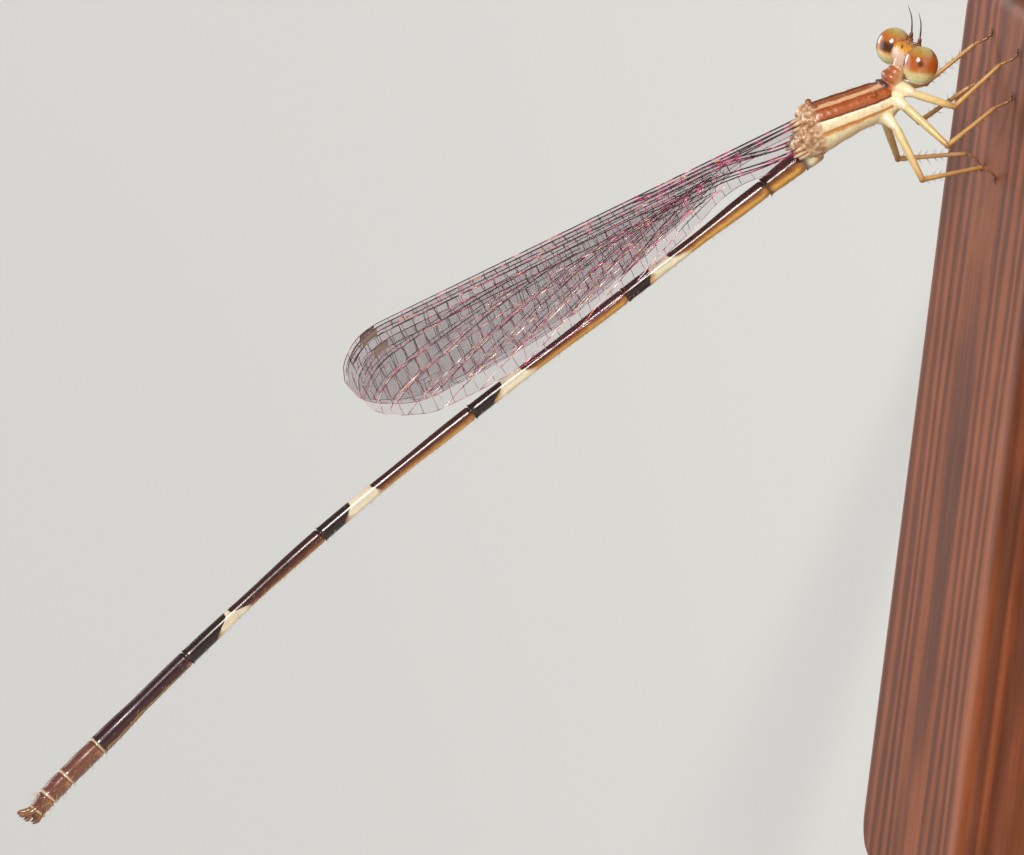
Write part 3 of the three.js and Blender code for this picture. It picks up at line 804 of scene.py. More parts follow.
thorax = {
    "front": (-0.31, 0, 4.4),
    "pitch": 62,
    "squareness": 2.5,
    # distance back, top, bottom, half width
    "stations": [
        (-0.5, 0.22, -0.60, 0.40), (0.0, 0.66, -0.78, 0.68), (0.5, 0.76, -0.76, 0.80),
        (1.2, 0.82, -0.76, 0.86), (2.0, 0.90, -0.86, 0.88), (2.7, 0.95, -0.98, 0.86),
        (3.1, 0.78, -1.06, 0.84), (3.5, 0.40, -1.00, 0.74), (3.85, 0.02, -0.70, 0.50),
        (4.02, -0.14, -0.58, 0.32), (4.1, -0.26, -0.48, 0.14),
    ],
    "sides": 72,
    "rows": 60,
    "keel": 0.06,
    "keelWidth": 0.05,
    "seamDepth": 0.035,
    "seamWidth": 0.09,
    "seamLevels": (0.45, 2.9, 4.0),
    "pitGap": 0.30,
    "pitDepth": 0.008,
    "waist": (-3.45, 0, -0.40),
    "waistRadii": [(0, 0.20), (0.35, 0.42), (0.7, 0.46), (1, 0.40)],
    # back, side, height, half length, half width, half height
    "lobes": [
        (-0.28, 0.42, -0.30, 0.30, 0.26, 0.26), (0.30, 0.42, -0.62, 0.40, 0.26, 0.22),
        (3.0, 0.42, 0.66, 0.34, 0.30, 0.26), (3.3, 0.66, -0.10, 0.36, 0.28, 0.30),
        (0.45, 0.62, 0.48, 0.16, 0.20, 0.13),
    ],
    # back, side, height, size
    "hingeKnobs": [
        (2.72, 0.50, 0.92, 0.13), (2.98, 0.62, 0.78, 0.14), (3.24, 0.60, 0.60, 0.13),
        (3.12, 0.78, 0.46, 0.12), (3.40, 0.70, 0.34, 0.13), (3.36, 0.84, 0.10, 0.12),
        (3.58, 0.72, 0.02, 0.12), (3.60, 0.62, -0.34, 0.14), (3.44, 0.74, -0.30, 0.11),
        (3.74, 0.46, -0.12, 0.15),
    ],
    # lines of the pattern on the flank, each [back, height] in front and behind, from the back downwards
    "lines": [
        ((0.09, 0.75), (2.76, 1.00)), ((0.04, 0.63), (2.67, 0.86)), ((0.07, 0.35), (2.74, 0.60)),
        ((0.11, 0.09), (2.78, 0.34)), ((0.24, -0.23), (2.92, -0.10)), ((0.0, -0.53), (2.86, -0.80)),
    ],
}
prothorax = {
    "centre": (0.5, 0, 4.16),
    "pitch": 22,
    "linkRadii": [(0, 0.36), (1, 0.5)],
    "lobes": [
        ((0.28, 0, 0.0), (0.20, 0.40, 0.36)), ((0.0, 0, 0.02), (0.30, 0.52, 0.46)),
        ((-0.36, 0, 0.12), (0.14, 0.46, 0.40)), ((-0.30, 0, -0.10), (0.34, 0.42, 0.36)),
    ],
}
head = {
    "centre": (1.4, 0, 3.71),
    "pitch": 90,
    "leftSideUp": 17,
    "leftSideForward": 8,
    "lobes": {
        "crown": ((0.0, 0, 0.12), (0.40, 0.85, 0.40)),
        "rear": ((-0.18, 0, -0.05), (0.28, 0.98, 0.50)),
        "frons": ((0.34, 0, 0.10), (0.28, 0.42, 0.22)),
        "nose": ((0.42, 0, -0.12), (0.22, 0.36, 0.13)),
        "lip": ((0.40, 0, -0.34), (0.18, 0.34, 0.16)),
        "jawLeft": ((0.20, 0.38, -0.42), (0.22, 0.14, 0.20)),
        "jawRight": ((0.20, -0.38, -0.42), (0.22, 0.14, 0.20)),
        "chin": ((0.15, 0, -0.70), (0.26, 0.34, 0.26)),
        "socketLeft": ((0.20, 0.30, 0.42), (0.13, 0.13, 0.13)),
        "socketRight": ((0.20, -0.30, 0.42), (0.13, 0.13, 0.13)),
    },
    "neckRadii": [(0, 0.30), (1, 0.27)],
}
skinGrain = 0.036                    # mm, size of a cell of the fused skin
# Each leg: hip, second joint, knee, ankle and toe
legPoints = {
    "fore": [
        (0.2, 0.25, 3.9), (0.08, 0.75, 3.42), (-0.02, 2.2, 2.22), (1.7, 1.95, 0.55), (2.15, 1.96, -0.08),
    ],
    "mid": [
        (-0.2, 0.25, 4.2), (-0.45, 0.85, 3.7), (-1.54, 2.2, 2.29), (0.04, 1.95, 0.52), (0.44, 1.96, -0.08),
    ],
    "hind": [
        (-0.75, 0.25, 4.6), (-1.25, 1.0, 4.05), (-2.99, 1.9, 3.03), (-2.45, 1.25, 0.50), (-2.9, 1.1, -0.08),
    ],
}
hipRadii = [(0, 0.28), (0.45, 0.27), (0.75, 0.21), (1, 0.15)]
thoraxFrame = localFrame(thorax["front"], thorax["pitch"])
saddleFrame = localFrame(prothorax["centre"], prothorax["pitch"])
headFrame = localFrame(head["centre"], head["pitch"], head["leftSideUp"], -head["leftSideForward"])


def legPlaces(pair, side):
    return [Vector((x, side * y, z)) for x, y, z in legPoints[pair]]


def thoraxShell():
    stations = thorax["stations"]
    tops, bottoms, widths = ([(station[0], station[k]) for station in stations] for k in (1, 2, 3))
    power = 2 / thorax["squareness"]

    def place(share, angle, reach):
        back = lerp(stations[0][0], stations[-1][0], share)
        top, bottom = eased(tops, back), eased(bottoms, back)
        side = math.copysign(abs(math.cos(angle)) ** power, math.cos(angle)) * eased(widths, back)
        high = math.copysign(abs(math.sin(angle)) ** power, math.sin(angle)) * (top - bottom) / 2
        return thoraxFrame @ Vector((-back, side * reach, (top + bottom) / 2 + high * reach))
    return closedTube(thorax["sides"], thorax["rows"], place)


def thoraxParts():
    parts = [thoraxShell()]
    for back, side, high, *semi in thorax["lobes"]:
        for flank in (1, -1):
            parts.append(ellipsoid((-back, flank * side, high), semi, thoraxFrame))
    for back, side, high, size in thorax["hingeKnobs"]:
        for flank in (1, -1):
            knob = (size * 1.2, size * 0.8, size)
            parts.append(ellipsoid((-back, flank * side, high), knob, thoraxFrame, 14, 8))
    waist = [thoraxFrame @ Vector(thorax["waist"]), joints[0].lerp(joints[1], 0.6)]
    parts.append(limb(waist, thorax["waistRadii"]))
    return parts


def hipParts():
    parts = []
    for pair in legPoints:
        for side in (1, -1):
            hip, trochanter = legPlaces(pair, side)[:2]
            parts.append(limb([hip, trochanter], hipRadii, 18, 10))
    return parts


def headParts():
    parts = [ellipsoid(centre, semi, headFrame) for centre, semi in head["lobes"].values()]
    neck = [headFrame @ Vector((-0.15, 0, -0.1)), saddleFrame @ Vector((0.2, 0, -0.05))]
    parts.append(limb(neck, head["neckRadii"]))
    return parts


def saddleParts():
    parts = [ellipsoid(centre, semi, saddleFrame) for centre, semi in prothorax["lobes"]]
    link = [saddleFrame @ Vector((-0.2, 0, -0.1)), thoraxFrame @ Vector((-0.1, 0, -0.1))]
    parts.append(limb(link, prothorax["linkRadii"]))
    return parts


# Level of the flank pattern: 0 on the first line, 1 on the second and so on down
def flankLevel(back, high):
    heights = [straight([front, hind], clamp(back, front[0], hind[0])) for front, hind in thorax["lines"]]
    if high > heights[0]:
        return (heights[0] - high) / 0.15
    for k in range(len(heights) - 1):
        if high > heights[k + 1]:
            return k + (heights[k] - high) / (heights[k] - heights[k + 1])
    return len(heights) - 1 + (heights[-1] - high) / 0.3


def fusedMesh(parts):
    verts, faces = joined(parts)
    mesh = bpy.data.meshes.new("rawSkin")
    mesh.from_pydata(verts, [], faces)
    holder = linked("rawSkin", mesh)
    remesh = holder.modifiers.new("fused", "REMESH")
    remesh.mode = "VOXEL"
    remesh.voxel_size = skinGrain
    soften = holder.modifiers.new("softened", "SMOOTH")
    soften.factor = 0.5
    soften.iterations = 4
    shaped = holder.evaluated_get(bpy.context.evaluated_depsgraph_get())
    fused = bpy.data.meshes.new_from_object(shaped)
    bpy.data.objects.remove(holder)
    return fused


# Presses seams and pits into the thorax and raises its keel; the numbers are in its own frame
def thoraxRelief(point):
    back, side, high = -point.x, abs(point.y), point.z
    stripe = flankLevel(back, high)
    onFlank = smooth((side - 0.3) / 0.2) * smooth(back / 0.3) * smooth((3.0 - back) / 0.3)
    onKeel = bell(side, 0, thorax["keelWidth"]) * smooth((high - 0.4) / 0.2) * smooth((2.8 - back) / 0.2)
    rise = thorax["keel"] * onKeel
    for seam in thorax["seamLevels"]:
        rise -= thorax["seamDepth"] * bell(stripe, seam, thorax["seamWidth"]) * onFlank
    pits = 0.5 + 0.5 * math.cos(back * 2 * math.pi / thorax["pitGap"])
    rise -= thorax["pitDepth"] * pits * bell(stripe, 2.0, 0.25) * onFlank
    return rise


def coreSkin():
    zones = {"thorax": thoraxParts(), "hips": hipParts(), "saddle": saddleParts(), "head": headParts()}
    frames = {"thorax": thoraxFrame, "hips": thoraxFrame, "saddle": saddleFrame, "head": headFrame}
    fused = fusedMesh([part for parts in zones.values() for part in parts])
    trees = {}
    for zone, parts in zones.items():
        trees[zone] = BVHTree.FromPolygons(*joined(parts))
    inverse = {zone: place.inverted() for zone, place in frames.items()}
    names = list(zones)
    zoneOf = []
    for polygon in fused.polygons:
        zoneOf.append(min(names, key=lambda zone: trees[zone].find_nearest(polygon.center)[3]))
    verts = []
    for vertex in fused.vertices:
        point = vertex.co.copy()
        if trees["thorax"].find_nearest(point, 0.12)[0]:
            point += vertex.normal * thoraxRelief(inverse["thorax"] @ point)
        verts.append(point)
    faces = []
    slots = []
    places = []
    marks = []
    for polygon, zone in zip(fused.polygons, zoneOf):
        corners = tuple(polygon.vertices)
        faces.append(corners)
        slots.append(names.index(zone))
        for corner in corners:
            place = inverse[zone] @ fused.vertices[corner].co
            places.append(place)
            marks.append(Vector((flankLevel(-place.x, place.z), abs(place.y), -place.x)))
    return verts, faces, slots, places, marks


skinColours = {
    "band": paint(38, 18, 13),
    "ring": paint(246, 234, 200),
    # colour round the abdomen, from the back to the belly
    "abdomen": [
        (0.0, 46, 18, 18), (0.30, 62, 26, 20), (0.46, 84, 40, 22), (0.58, 150, 92, 36),
        (0.70, 220, 164, 76), (0.9, 208, 152, 72), (1.0, 150, 100, 48),
    ],
    "seventh": [
        (0.0, 44, 16, 24), (0.45, 54, 22, 28), (0.62, 66, 30, 26), (0.69, 176, 124, 56),
        (0.75, 110, 62, 34), (1.0, 64, 34, 26),
    ],
    "tail": [
        (0.0, 88, 46, 40), (0.35, 112, 66, 50), (0.62, 122, 76, 54), (0.85, 132, 86, 58),
        (1.0, 92, 58, 44),
    ],
    "waist": [
        (0.0, 120, 70, 44), (0.2, 190, 150, 110), (0.45, 236, 222, 190), (1.0, 230, 212, 172),
    ],
    # colour by level of the flank pattern
    "flank": [
        (-1.0, 86, 66, 26), (-0.2, 96, 54, 20), (0.3, 140, 68, 20), (0.62, 146, 76, 26),
        (0.78, 208, 158, 118), (1.12, 210, 162, 122), (1.28, 140, 62, 12),
        (1.9, 172, 84, 18), (2.5, 156, 72, 14), (2.86, 96, 40, 12), (2.96, 244, 232, 202),
        (3.3, 240, 224, 188), (3.78, 232, 210, 164), (3.92, 196, 128, 52),
        (4.10, 190, 120, 46), (4.24, 234, 214, 170), (5.0, 230, 212, 172),
        (6.0, 206, 186, 150),
    ],
    "saddle": [
        (0.0, 226, 200, 160), (0.30, 218, 182, 138), (0.46, 186, 118, 70), (0.7, 168, 90, 44),
        (1.0, 134, 66, 32),
    ],
    "head": [
        (0.0, 222, 200, 158), (0.32, 214, 184, 138), (0.5, 186, 138, 92), (0.66, 198, 130, 48),
        (0.86, 214, 146, 40), (1.0, 170, 100, 34),
    ],
    "hips": paint(236, 218, 180),
    "hinge": [(0.34, 150, 102, 68), (0.48, 182, 138, 100), (0.64, 216, 186, 152)],
}


def abdomenFinish(name, stops):
    material, tree, shader = startMaterial(name, 0.28, 0.35, 0.12, 0.06, {"Specular IOR Level": 0.4})
    place = attributeParts(tree, "place")
    mark = attributeParts(tree, "mark")
    streaks = noiseHere(tree, 2600.0, 4.0)
    colour = rampOf(tree, sums(tree, "ADD", place["Y"], drift(tree, streaks, 0.16)), stops)
    nearJoint = product(tree, edge(tree, mark["Z"], 0.30, 0.05), edge(tree, place["X"], 8.0, 7.99))
    colour = laidOver(tree, colour, nearJoint, 0.8, skinColours["band"])
    tailRim = product(tree, edge(tree, mark["Z"], 0.12, 0.05), edge(tree, place["X"], 7.9, 7.95))
    colour = laidOver(tree, colour, tailRim, 0.75, paint(206, 178, 142))
    afterJoint = product(tree, edge(tree, place["Z"], 0.34, 0.10), edge(tree, place["Y"], 0.45, 0.6))
    colour = laidOver(tree, colour, afterJoint, 0.7, paint(176, 118, 66))
    ragged = drift(tree, streaks, 0.12)
    low = edge(tree, place["Y"], 0.35, 0.65)
    softer = sums(tree, "MULTIPLY_ADD", low, 0.5, 0.06)
    inside = sums(tree, "DIVIDE", sums(tree, "ADD", mark["X"], ragged), softer)
    ring = edge(tree, inside, -0.1, 0.9)
    ringColour = mixed(tree, low, paint(206, 190, 166), skinColours["ring"])
    colour = mixed(tree, ring, colour, ringColour)
    band = edge(tree, sums(tree, "ADD", mark["Y"], ragged), -0.02, 0.06)
    colour = mixed(tree, band, colour, skinColours["band"])
    coverWith(tree, shader, colour, 3.0, 0.20, 16.0, 0.07, (0.20, 0.32))
    return material


def flankFinish():
    material, tree, shader = startMaterial("flankCuticle", 0.32, 0.3, 0.15, 0.12)
    mark = attributeParts(tree, "mark")
    wander = drift(tree, noiseHere(tree, 3000.0, 4.0), 0.30)
    lowest, highest = skinColours["flank"][0][0], skinColours["flank"][-1][0]
    share = spread(tree, sums(tree, "ADD", mark["X"], wander), lowest, highest)
    stops = [((level - lowest) / (highest - lowest), *colour) for level, *colour in skinColours["flank"]]
    colour = rampOf(tree, share, stops)
    hinge = edge(tree, sums(tree, "ADD", mark["Z"], wander), 2.72, 2.98)
    hingeColour = rampOf(tree, noiseHere(tree, 5600.0), skinColours["hinge"])
    colour = mixed(tree, hinge, colour, hingeColour)
    keel = edge(tree, mark["Y"], 0.10, 0.03)
    colour = laidOver(tree, colour, keel, 0.7, paint(52, 34, 14))
    coverWith(tree, shader, colour, 2.6, 0.16, 15.0, 0.14, (0.24, 0.38))
    return material


def hipFinish():
    material, tree, shader = startMaterial("hipCuticle", 0.35, 0.4, 0.2, 0.15)
    coverWith(tree, shader, skinColours["hips"], 3.0, 0.18, 15.0, 0.25, (0.28, 0.42))
    return material


def saddleFinish():
    material, tree, shader = startMaterial("saddleCuticle", 0.35, 0.4, 0.2)
    place = attributeParts(tree, "place")
    colour = rampOf(tree, spread(tree, place["Z"], -0.42, 0.5), skinColours["saddle"])
    hindLobe = edge(tree, place["X"], -0.20, -0.30)
    onTop = edge(tree, place["Z"], 0.05, 0.2)
    colour = laidOver(tree, colour, hindLobe, onTop, paint(66, 30, 34))
    coverWith(tree, shader, colour, 4.0, 0.2, 15.0, 0.3, (0.28, 0.42))
    return material


def headFinish():
    material, tree, shader = startMaterial("headCuticle", 0.32, 0.4, 0.2)
    place = attributeParts(tree, "place")
    colour = rampOf(tree, spread(tree, place["Z"], -0.9, 0.56), skinColours["head"])
    face = edge(tree, place["X"], 0.36, 0.5)
    colour = laidOver(tree, colour, face, 0.7, paint(178, 150, 96))
    nape = product(tree, edge(tree, place["X"], -0.10, -0.26), edge(tree, place["Z"], 0.30, 0.12))
    colour = laidOver(tree, colour, nape, 0.9, paint(196, 160, 132))
    dark = product(tree, edge(tree, noiseHere(tree, 4200.0), 0.52, 0.60), edge(tree, place["Z"], 0.05, 0.25))
    colour = laidOver(tree, colour, dark, 0.8, paint(70, 36, 24))
    coverWith(tree, shader, colour, 5.0, 0.25, 15.0, 0.3, (0.26, 0.4))
    return material


def makeBody():
    finishes = [
        flankFinish(), hipFinish(), saddleFinish(), headFinish(),
        abdomenFinish("waistCuticle", skinColours["waist"]),
        abdomenFinish("abdomenCuticle", skinColours["abdomen"]),
        abdomenFinish("duskCuticle", skinColours["seventh"]),
        abdomenFinish("tailCuticle", skinColours["tail"]),
    ]
    verts, faces, slots, places, marks = coreSkin()
    start = len(verts)
    moreVerts, moreFaces, numbers, pointPlaces, pointMarks = abdomenSkin()
    verts += moreVerts
    for face, number in zip(moreFaces, numbers):
        faces.append(tuple(start + i for i in face))
        slots.append(4 if number == 1 else 5 if number < 7 else 6 if number == 7 else 7)
        places += [pointPlaces[i] for i in face]
        marks += [pointMarks[i] for i in face]
    for partVerts, partFaces in tailParts():
        start = len(verts)
        verts += partVerts
        for face in partFaces:
            faces.append(tuple(start + i for i in face))
            slots.append(7)
            places += [Vector((10.6, 0.85, 0.6))] * len(face)
            marks += [Vector((-1, -1, 1))] * len(face)
    body = makePiece("bodySkin", verts, faces, finishes, slots, {"place": places, "mark": marks})
    segments = ["abdomen_%d" % number for number in range(1, 11)]
    mount(body, "body", "head", "mouthparts", "prothorax", "thorax", *segments)


makeBody()
print("damselfly: body skin made")


# Eyes and the three small ones on the crown

eyes = {
    "centre": (0.0, 1.04, 0.0),
    "semi": (0.68, 0.66, 0.74),
    "spot": 0.11,                    # radius of the dark spot that looks at the viewer
    "ocelli": [(0.22, 0.0, 0.50), (0.02, 0.15, 0.50), (0.02, -0.15, 0.50)],
    "ocellusRadius": 0.075,
    "sides": 96,
    "rows": 64,
    "height": [
        (0.0, 206, 208, 150), (0.20, 226, 224, 172), (0.34, 222, 204, 142),
        (0.44, 192, 112, 44), (0.60, 172, 84, 26), (0.80, 168, 92, 32),
        (0.91, 172, 132, 56), (1.0, 172, 156, 76),
    ],
}


def eyeFinish(name, side):
    material, tree, shader = startMaterial(name, 0.18, 0.9, 0.06, 0.1, {"Subsurface Scale": 0.3 * mm})
    holder = addNode(tree, "ShaderNodeAttribute", attribute_name="place")
    place = addNode(tree, "ShaderNodeSeparateXYZ", {"Vector": holder.outputs["Vector"]}).outputs
    wander = drift(tree, noiseHere(tree, 1900.0), 0.16)
    tall = sums(tree, "ADD", spread(tree, place["Z"], -eyes["semi"][2], eyes["semi"][2]), wander)
    colour = rampOf(tree, tall, eyes["height"])
    ahead = edge(tree, place["X"], 0.30, 0.62)
    colour = laidOver(tree, colour, ahead, 0.6, paint(150, 136, 66))
    low, high = edge(tree, place["Z"], -0.14, -0.02), edge(tree, place["Z"], 0.36, 0.20)
    inner = edge(tree, product(tree, place["Y"], side), 1.02, 0.86)
    behind = product(tree, edge(tree, place["X"], -0.16, -0.36), low, high, inner)
    colour = laidOver(tree, colour, behind, 0.88, paint(46, 26, 16))
    browAhead = product(tree, edge(tree, place["X"], 0.05, 0.30), edge(tree, place["Z"], 0.40, 0.56))
    colour = laidOver(tree, colour, browAhead, 0.75, paint(96, 54, 22))
    look = headFrame.to_3x3().inverted() @ toCamera
    look.y = side * abs(look.y)
    centre = Vector((0, side * eyes["centre"][1], 0))
    scaled = Vector([look[k] * eyes["semi"][k] for k in range(3)])
    ends = {0: holder.outputs["Vector"], 1: centre + scaled}
    away = addNode(tree, "ShaderNodeVectorMath", ends, operation="DISTANCE").outputs["Value"]
    spot = edge(tree, away, eyes["spot"] * 1.5, eyes["spot"] * 0.5)
    colour = laidOver(tree, colour, spot, 0.75, paint(44, 24, 16))
    coverWith(tree, shader, colour, 6.0, 0.2, 30.0, 0.10, (0.12, 0.22))
    return material


def makeEyes():
    for name, side in bothSides:
        centre = (0.0, side * eyes["centre"][1], 0.0)
        verts, faces = ellipsoid(centre, eyes["semi"], headFrame, eyes["sides"], eyes["rows"])
        back = headFrame.inverted()
        places = [back @ point for point in verts]
        finish = eyeFinish("eyeFacets" + name, side)
        eye = makePiece("eye" + name, verts, faces, [finish], pointVectors={"place": places})
        mount(eye, "eye", "eye_" + name.lower())


def makeOcelli():
    material, tree, shader = startMaterial("ocellusGlass", 0.1, 1.0, 0.05)
    coverWith(tree, shader, paint(150, 112, 84), 10.0, 0.3, 20.0, 0.05)
    size = eyes["ocellusRadius"]
    parts = [ellipsoid(place, (size, size, size * 0.9), headFrame, 24, 16) for place in eyes["ocelli"]]
    mount(makePiece("ocelli", *joined(parts), [material]), "eye")


makeEyes()
makeOcelli()
print("damselfly: eyes made")


# Antennae: a thick foot, a long second joint and a fine tapering thread

antenna = {
    "path": [
        (0.20, 0.30, 0.44), (0.21, 0.32, 0.66), (0.18, 0.33, 1.0), (0.08, 0.36, 1.45), (-0.14, 0.42, 1.88),
    ],
    "radii": [
        (0, 0.105), (0.10, 0.115), (0.125, 0.07), (0.15, 0.085), (0.24, 0.075), (0.27, 0.035),
        (0.6, 0.024), (1, 0.010),
    ],
    "sides": 14,
    "steps": 90,
}


def antennaFinish():
    material, tree, shader = startMaterial("antennaCuticle", 0.35, 0.3)
    place = attributeParts(tree, "place")
    colour = rampOf(tree, place["X"], [
        (0.0, 172, 118, 58), (0.13, 90, 48, 28), (0.28, 128, 78, 42), (0.4, 62, 36, 26),
        (1.0, 84, 58, 44),
    ])
    coverWith(tree, shader, colour, 8.0, 0.2, 24.0, 0.2)
    return material


def makeAntennae():
    finish = antennaFinish()
    for name, side in bothSides:
        path = curved([headFrame @ Vector((x, side * y, z)) for x, y, z in antenna["path"]], 12)
        sides, steps = antenna["sides"], antenna["steps"]
        verts, faces = limb(path, antenna["radii"], sides, steps)
        shares = [Vector((i // sides / steps, 0, 0)) for i in range(len(verts) - 2)]
        shares += [Vector((0, 0, 0)), Vector((1, 0, 0))]
        piece = makePiece("antenna" + name, verts, faces, [finish], pointVectors={"place": shares})
        mount(piece, "antenna", "antenna_" + name.lower())


makeAntennae()
print("damselfly: antennae made")


# Legs: slim thigh, slimmer shin and a foot of three short joints that lies on the base, with rows of bristles

leg = {
    "thigh": [(0, 0.12), (0.12, 0.165), (0.5, 0.155), (0.9, 0.125), (1, 0.11)],
    "shin": [(0, 0.105), (0.08, 0.10), (0.5, 0.083), (0.95, 0.085), (1, 0.07)],
    "footJoints": [0.30, 0.62, 1.0],
    "footRadius": 0.068,
    "kneeRadius": 0.13,
    "bristleGap": 0.27,
    "thighBristle": 0.17,
    "shinBristle": 0.27,
    "bristleRadius": 0.010,
    "clawLength": 0.22,
    "clawRadius": 0.030,
    "clawLift": 0.012,
    "thighSides": 18,
    "shinSides": 16,
    "footSides": 12,
    "steps": 30,
    # share of the leg's colours at the knee, below it, at the ankle, and for each joint of the foot
    "kneeAt": (0.36, 0.40),
    "ankleAt": 0.80,
    "footStep": 0.06,
}


def legFinish():
    material, tree, shader = startMaterial("legCuticle", 0.34, 0.4, 0.2, 0.12)
    place = attributeParts(tree, "place")
    colour = rampOf(tree, place["X"], [
        (0.0, 226, 204, 152), (0.28, 212, 178, 112), (0.38, 168, 112, 56),
        (0.44, 196, 152, 86), (0.75, 184, 136, 76), (0.86, 144, 94, 52), (1.0, 96, 60, 40),
    ])
    coverWith(tree, shader, colour, 4.0, 0.2, 18.0, 0.25, (0.28, 0.42))
    return material


def bristleFinish():
    material, tree, shader = startMaterial("bristleCuticle", 0.3, 0.4)
    coverWith(tree, shader, paint(112, 74, 44), 3.0, 0.25, 10.0, 0.1)
    return material


def addLimb(verts, faces, places, shape, first, last, count):
    start = len(verts)
    verts += shape[0]
    faces += [tuple(start + i for i in face) for face in shape[1]]
    rings = (len(shape[0]) - 2) // count
    shares = [lerp(first, last, (i // count) / (rings - 1)) for i in range(len(shape[0]) - 2)] + [first, last]
    places += [Vector((share, 0, 0)) for share in shares]


def rowOfBristles(start, end, length, outer, angles, chance):
    bristles = []
    axis = (end - start).normalized()
    across = (outer - axis * outer.dot(axis)).normalized()
    over = axis.cross(across)
    count = int((end - start).length / leg["bristleGap"])
    for angle in angles:
        for k in range(count):
            share = (k + 0.6 + chance.uniform(-0.15, 0.15)) / count
            turn = math.radians(angle + chance.uniform(-8, 8))
            stand = across * math.cos(turn) + over * math.sin(turn)
            lean = stand + axis * chance.uniform(0.55, 0.8)
            foot = start.lerp(end, share) + stand * 0.07
            grown = 0.55 + 0.45 * math.sin(math.pi * clamp(share, 0.1, 0.9))
            size = length * chance.uniform(0.8, 1.15) * grown
            bristles.append((foot, lean.normalized(), leg["bristleRadius"], size))
    return bristles


def footParts(ankle, toe):
    size = leg["footRadius"]
    ground = Vector((toe.x, toe.y, groundLevel + size))
    middle = ankle.lerp(ground, 0.55)
    middle.z = lerp(ground.z, ankle.z, 0.30)
    path = curved([ankle, middle, ground], 10)
    radii = [(0, size * 0.62), (0.25, size * 0.8), (0.85, size), (1, size * 0.7)]
    parts = []
    last = 0.0
    for joint in leg["footJoints"]:
        piece = [path[round(lerp(last, joint, k / 6) * (len(path) - 1))] for k in range(7)]
        parts.append(limb(piece, radii, leg["footSides"], 8))
        last = joint
    return parts, path


def clawParts(path, side):
    tip = path[-1]
    axis = (path[-1] - path[-4]).normalized()
    axis.z = 0
    axis.normalize()
    out = Vector((-axis.y, axis.x, 0))
    parts = []
    length = leg["clawLength"]
    for way in (1, -1):
        bend = tip + axis * length * 0.6 + out * way * length * 0.45 + Vector((0, 0, 0.02))
        end = tip + axis * length + out * way * length * 0.55
        end.z = groundLevel + leg["clawLift"]
        hook = curved([tip, bend, end], 6)
        parts.append(limb(hook, [(0, leg["clawRadius"]), (0.6, leg["clawRadius"] * 0.6), (1, 0.005)], 8, 10))
    return parts


def makeLegs():
    finish = legFinish()
    spine = bristleFinish()
    claw, tree, shader = startMaterial("clawHorn", 0.25, 0.6)
    coverWith(tree, shader, paint(54, 30, 20), 6.0, 0.3, 14.0, 0.1)
    claws = []
    chance = random.Random(11)
    for pair in legPoints:
        for name, side in bothSides:
            hip, trochanter, knee, ankle, toe = legPlaces(pair, side)
            verts, faces, places = [], [], []
            made = (verts, faces, places)
            above, below = leg["kneeAt"]
            ankleAt, footStep = leg["ankleAt"], leg["footStep"]
            thigh = [hip.lerp(trochanter, 0.8), trochanter, knee]
            upper = limb(thigh, leg["thigh"], leg["thighSides"], leg["steps"])
            addLimb(*made, upper, 0.0, above, leg["thighSides"])
            size = leg["kneeRadius"]
            cap = ellipsoid(knee, (size, size * 0.9, size), sides=leg["thighSides"], rows=12)
            addLimb(*made, cap, above, below, leg["thighSides"])
            shin = limb([knee, ankle], leg["shin"], leg["shinSides"], leg["steps"])
            addLimb(*made, shin, below, ankleAt, leg["shinSides"])
            footShapes, path = footParts(ankle, toe)
            for k, part in enumerate(footShapes):
                addLimb(*made, part, ankleAt + footStep * k, ankleAt + footStep * (k + 1), leg["footSides"])
            piece = makePiece(pair + "Leg" + name, verts, faces, [finish], pointVectors={"place": places})
            mount(piece, "leg", "%sleg_%s" % (pair, name.lower()))
            claws += clawParts(path, side)
            outer = Vector((0, side, 0.3))
            bristles = rowOfBristles(trochanter, knee, leg["thighBristle"], outer, (125, 205), chance)
            bristles += rowOfBristles(knee, ankle, leg["shinBristle"], outer, (70, 110, 235, 285), chance)
            hairs = growBristles(pair + "Bristles" + name, bristles, spine, 0.12, 5)
            mount(hairs, "leg")
    mount(makePiece("claws", *joined(claws), [claw]), "leg")


makeLegs()
print("damselfly: legs made")


# Wings: clear membrane over a net of veins

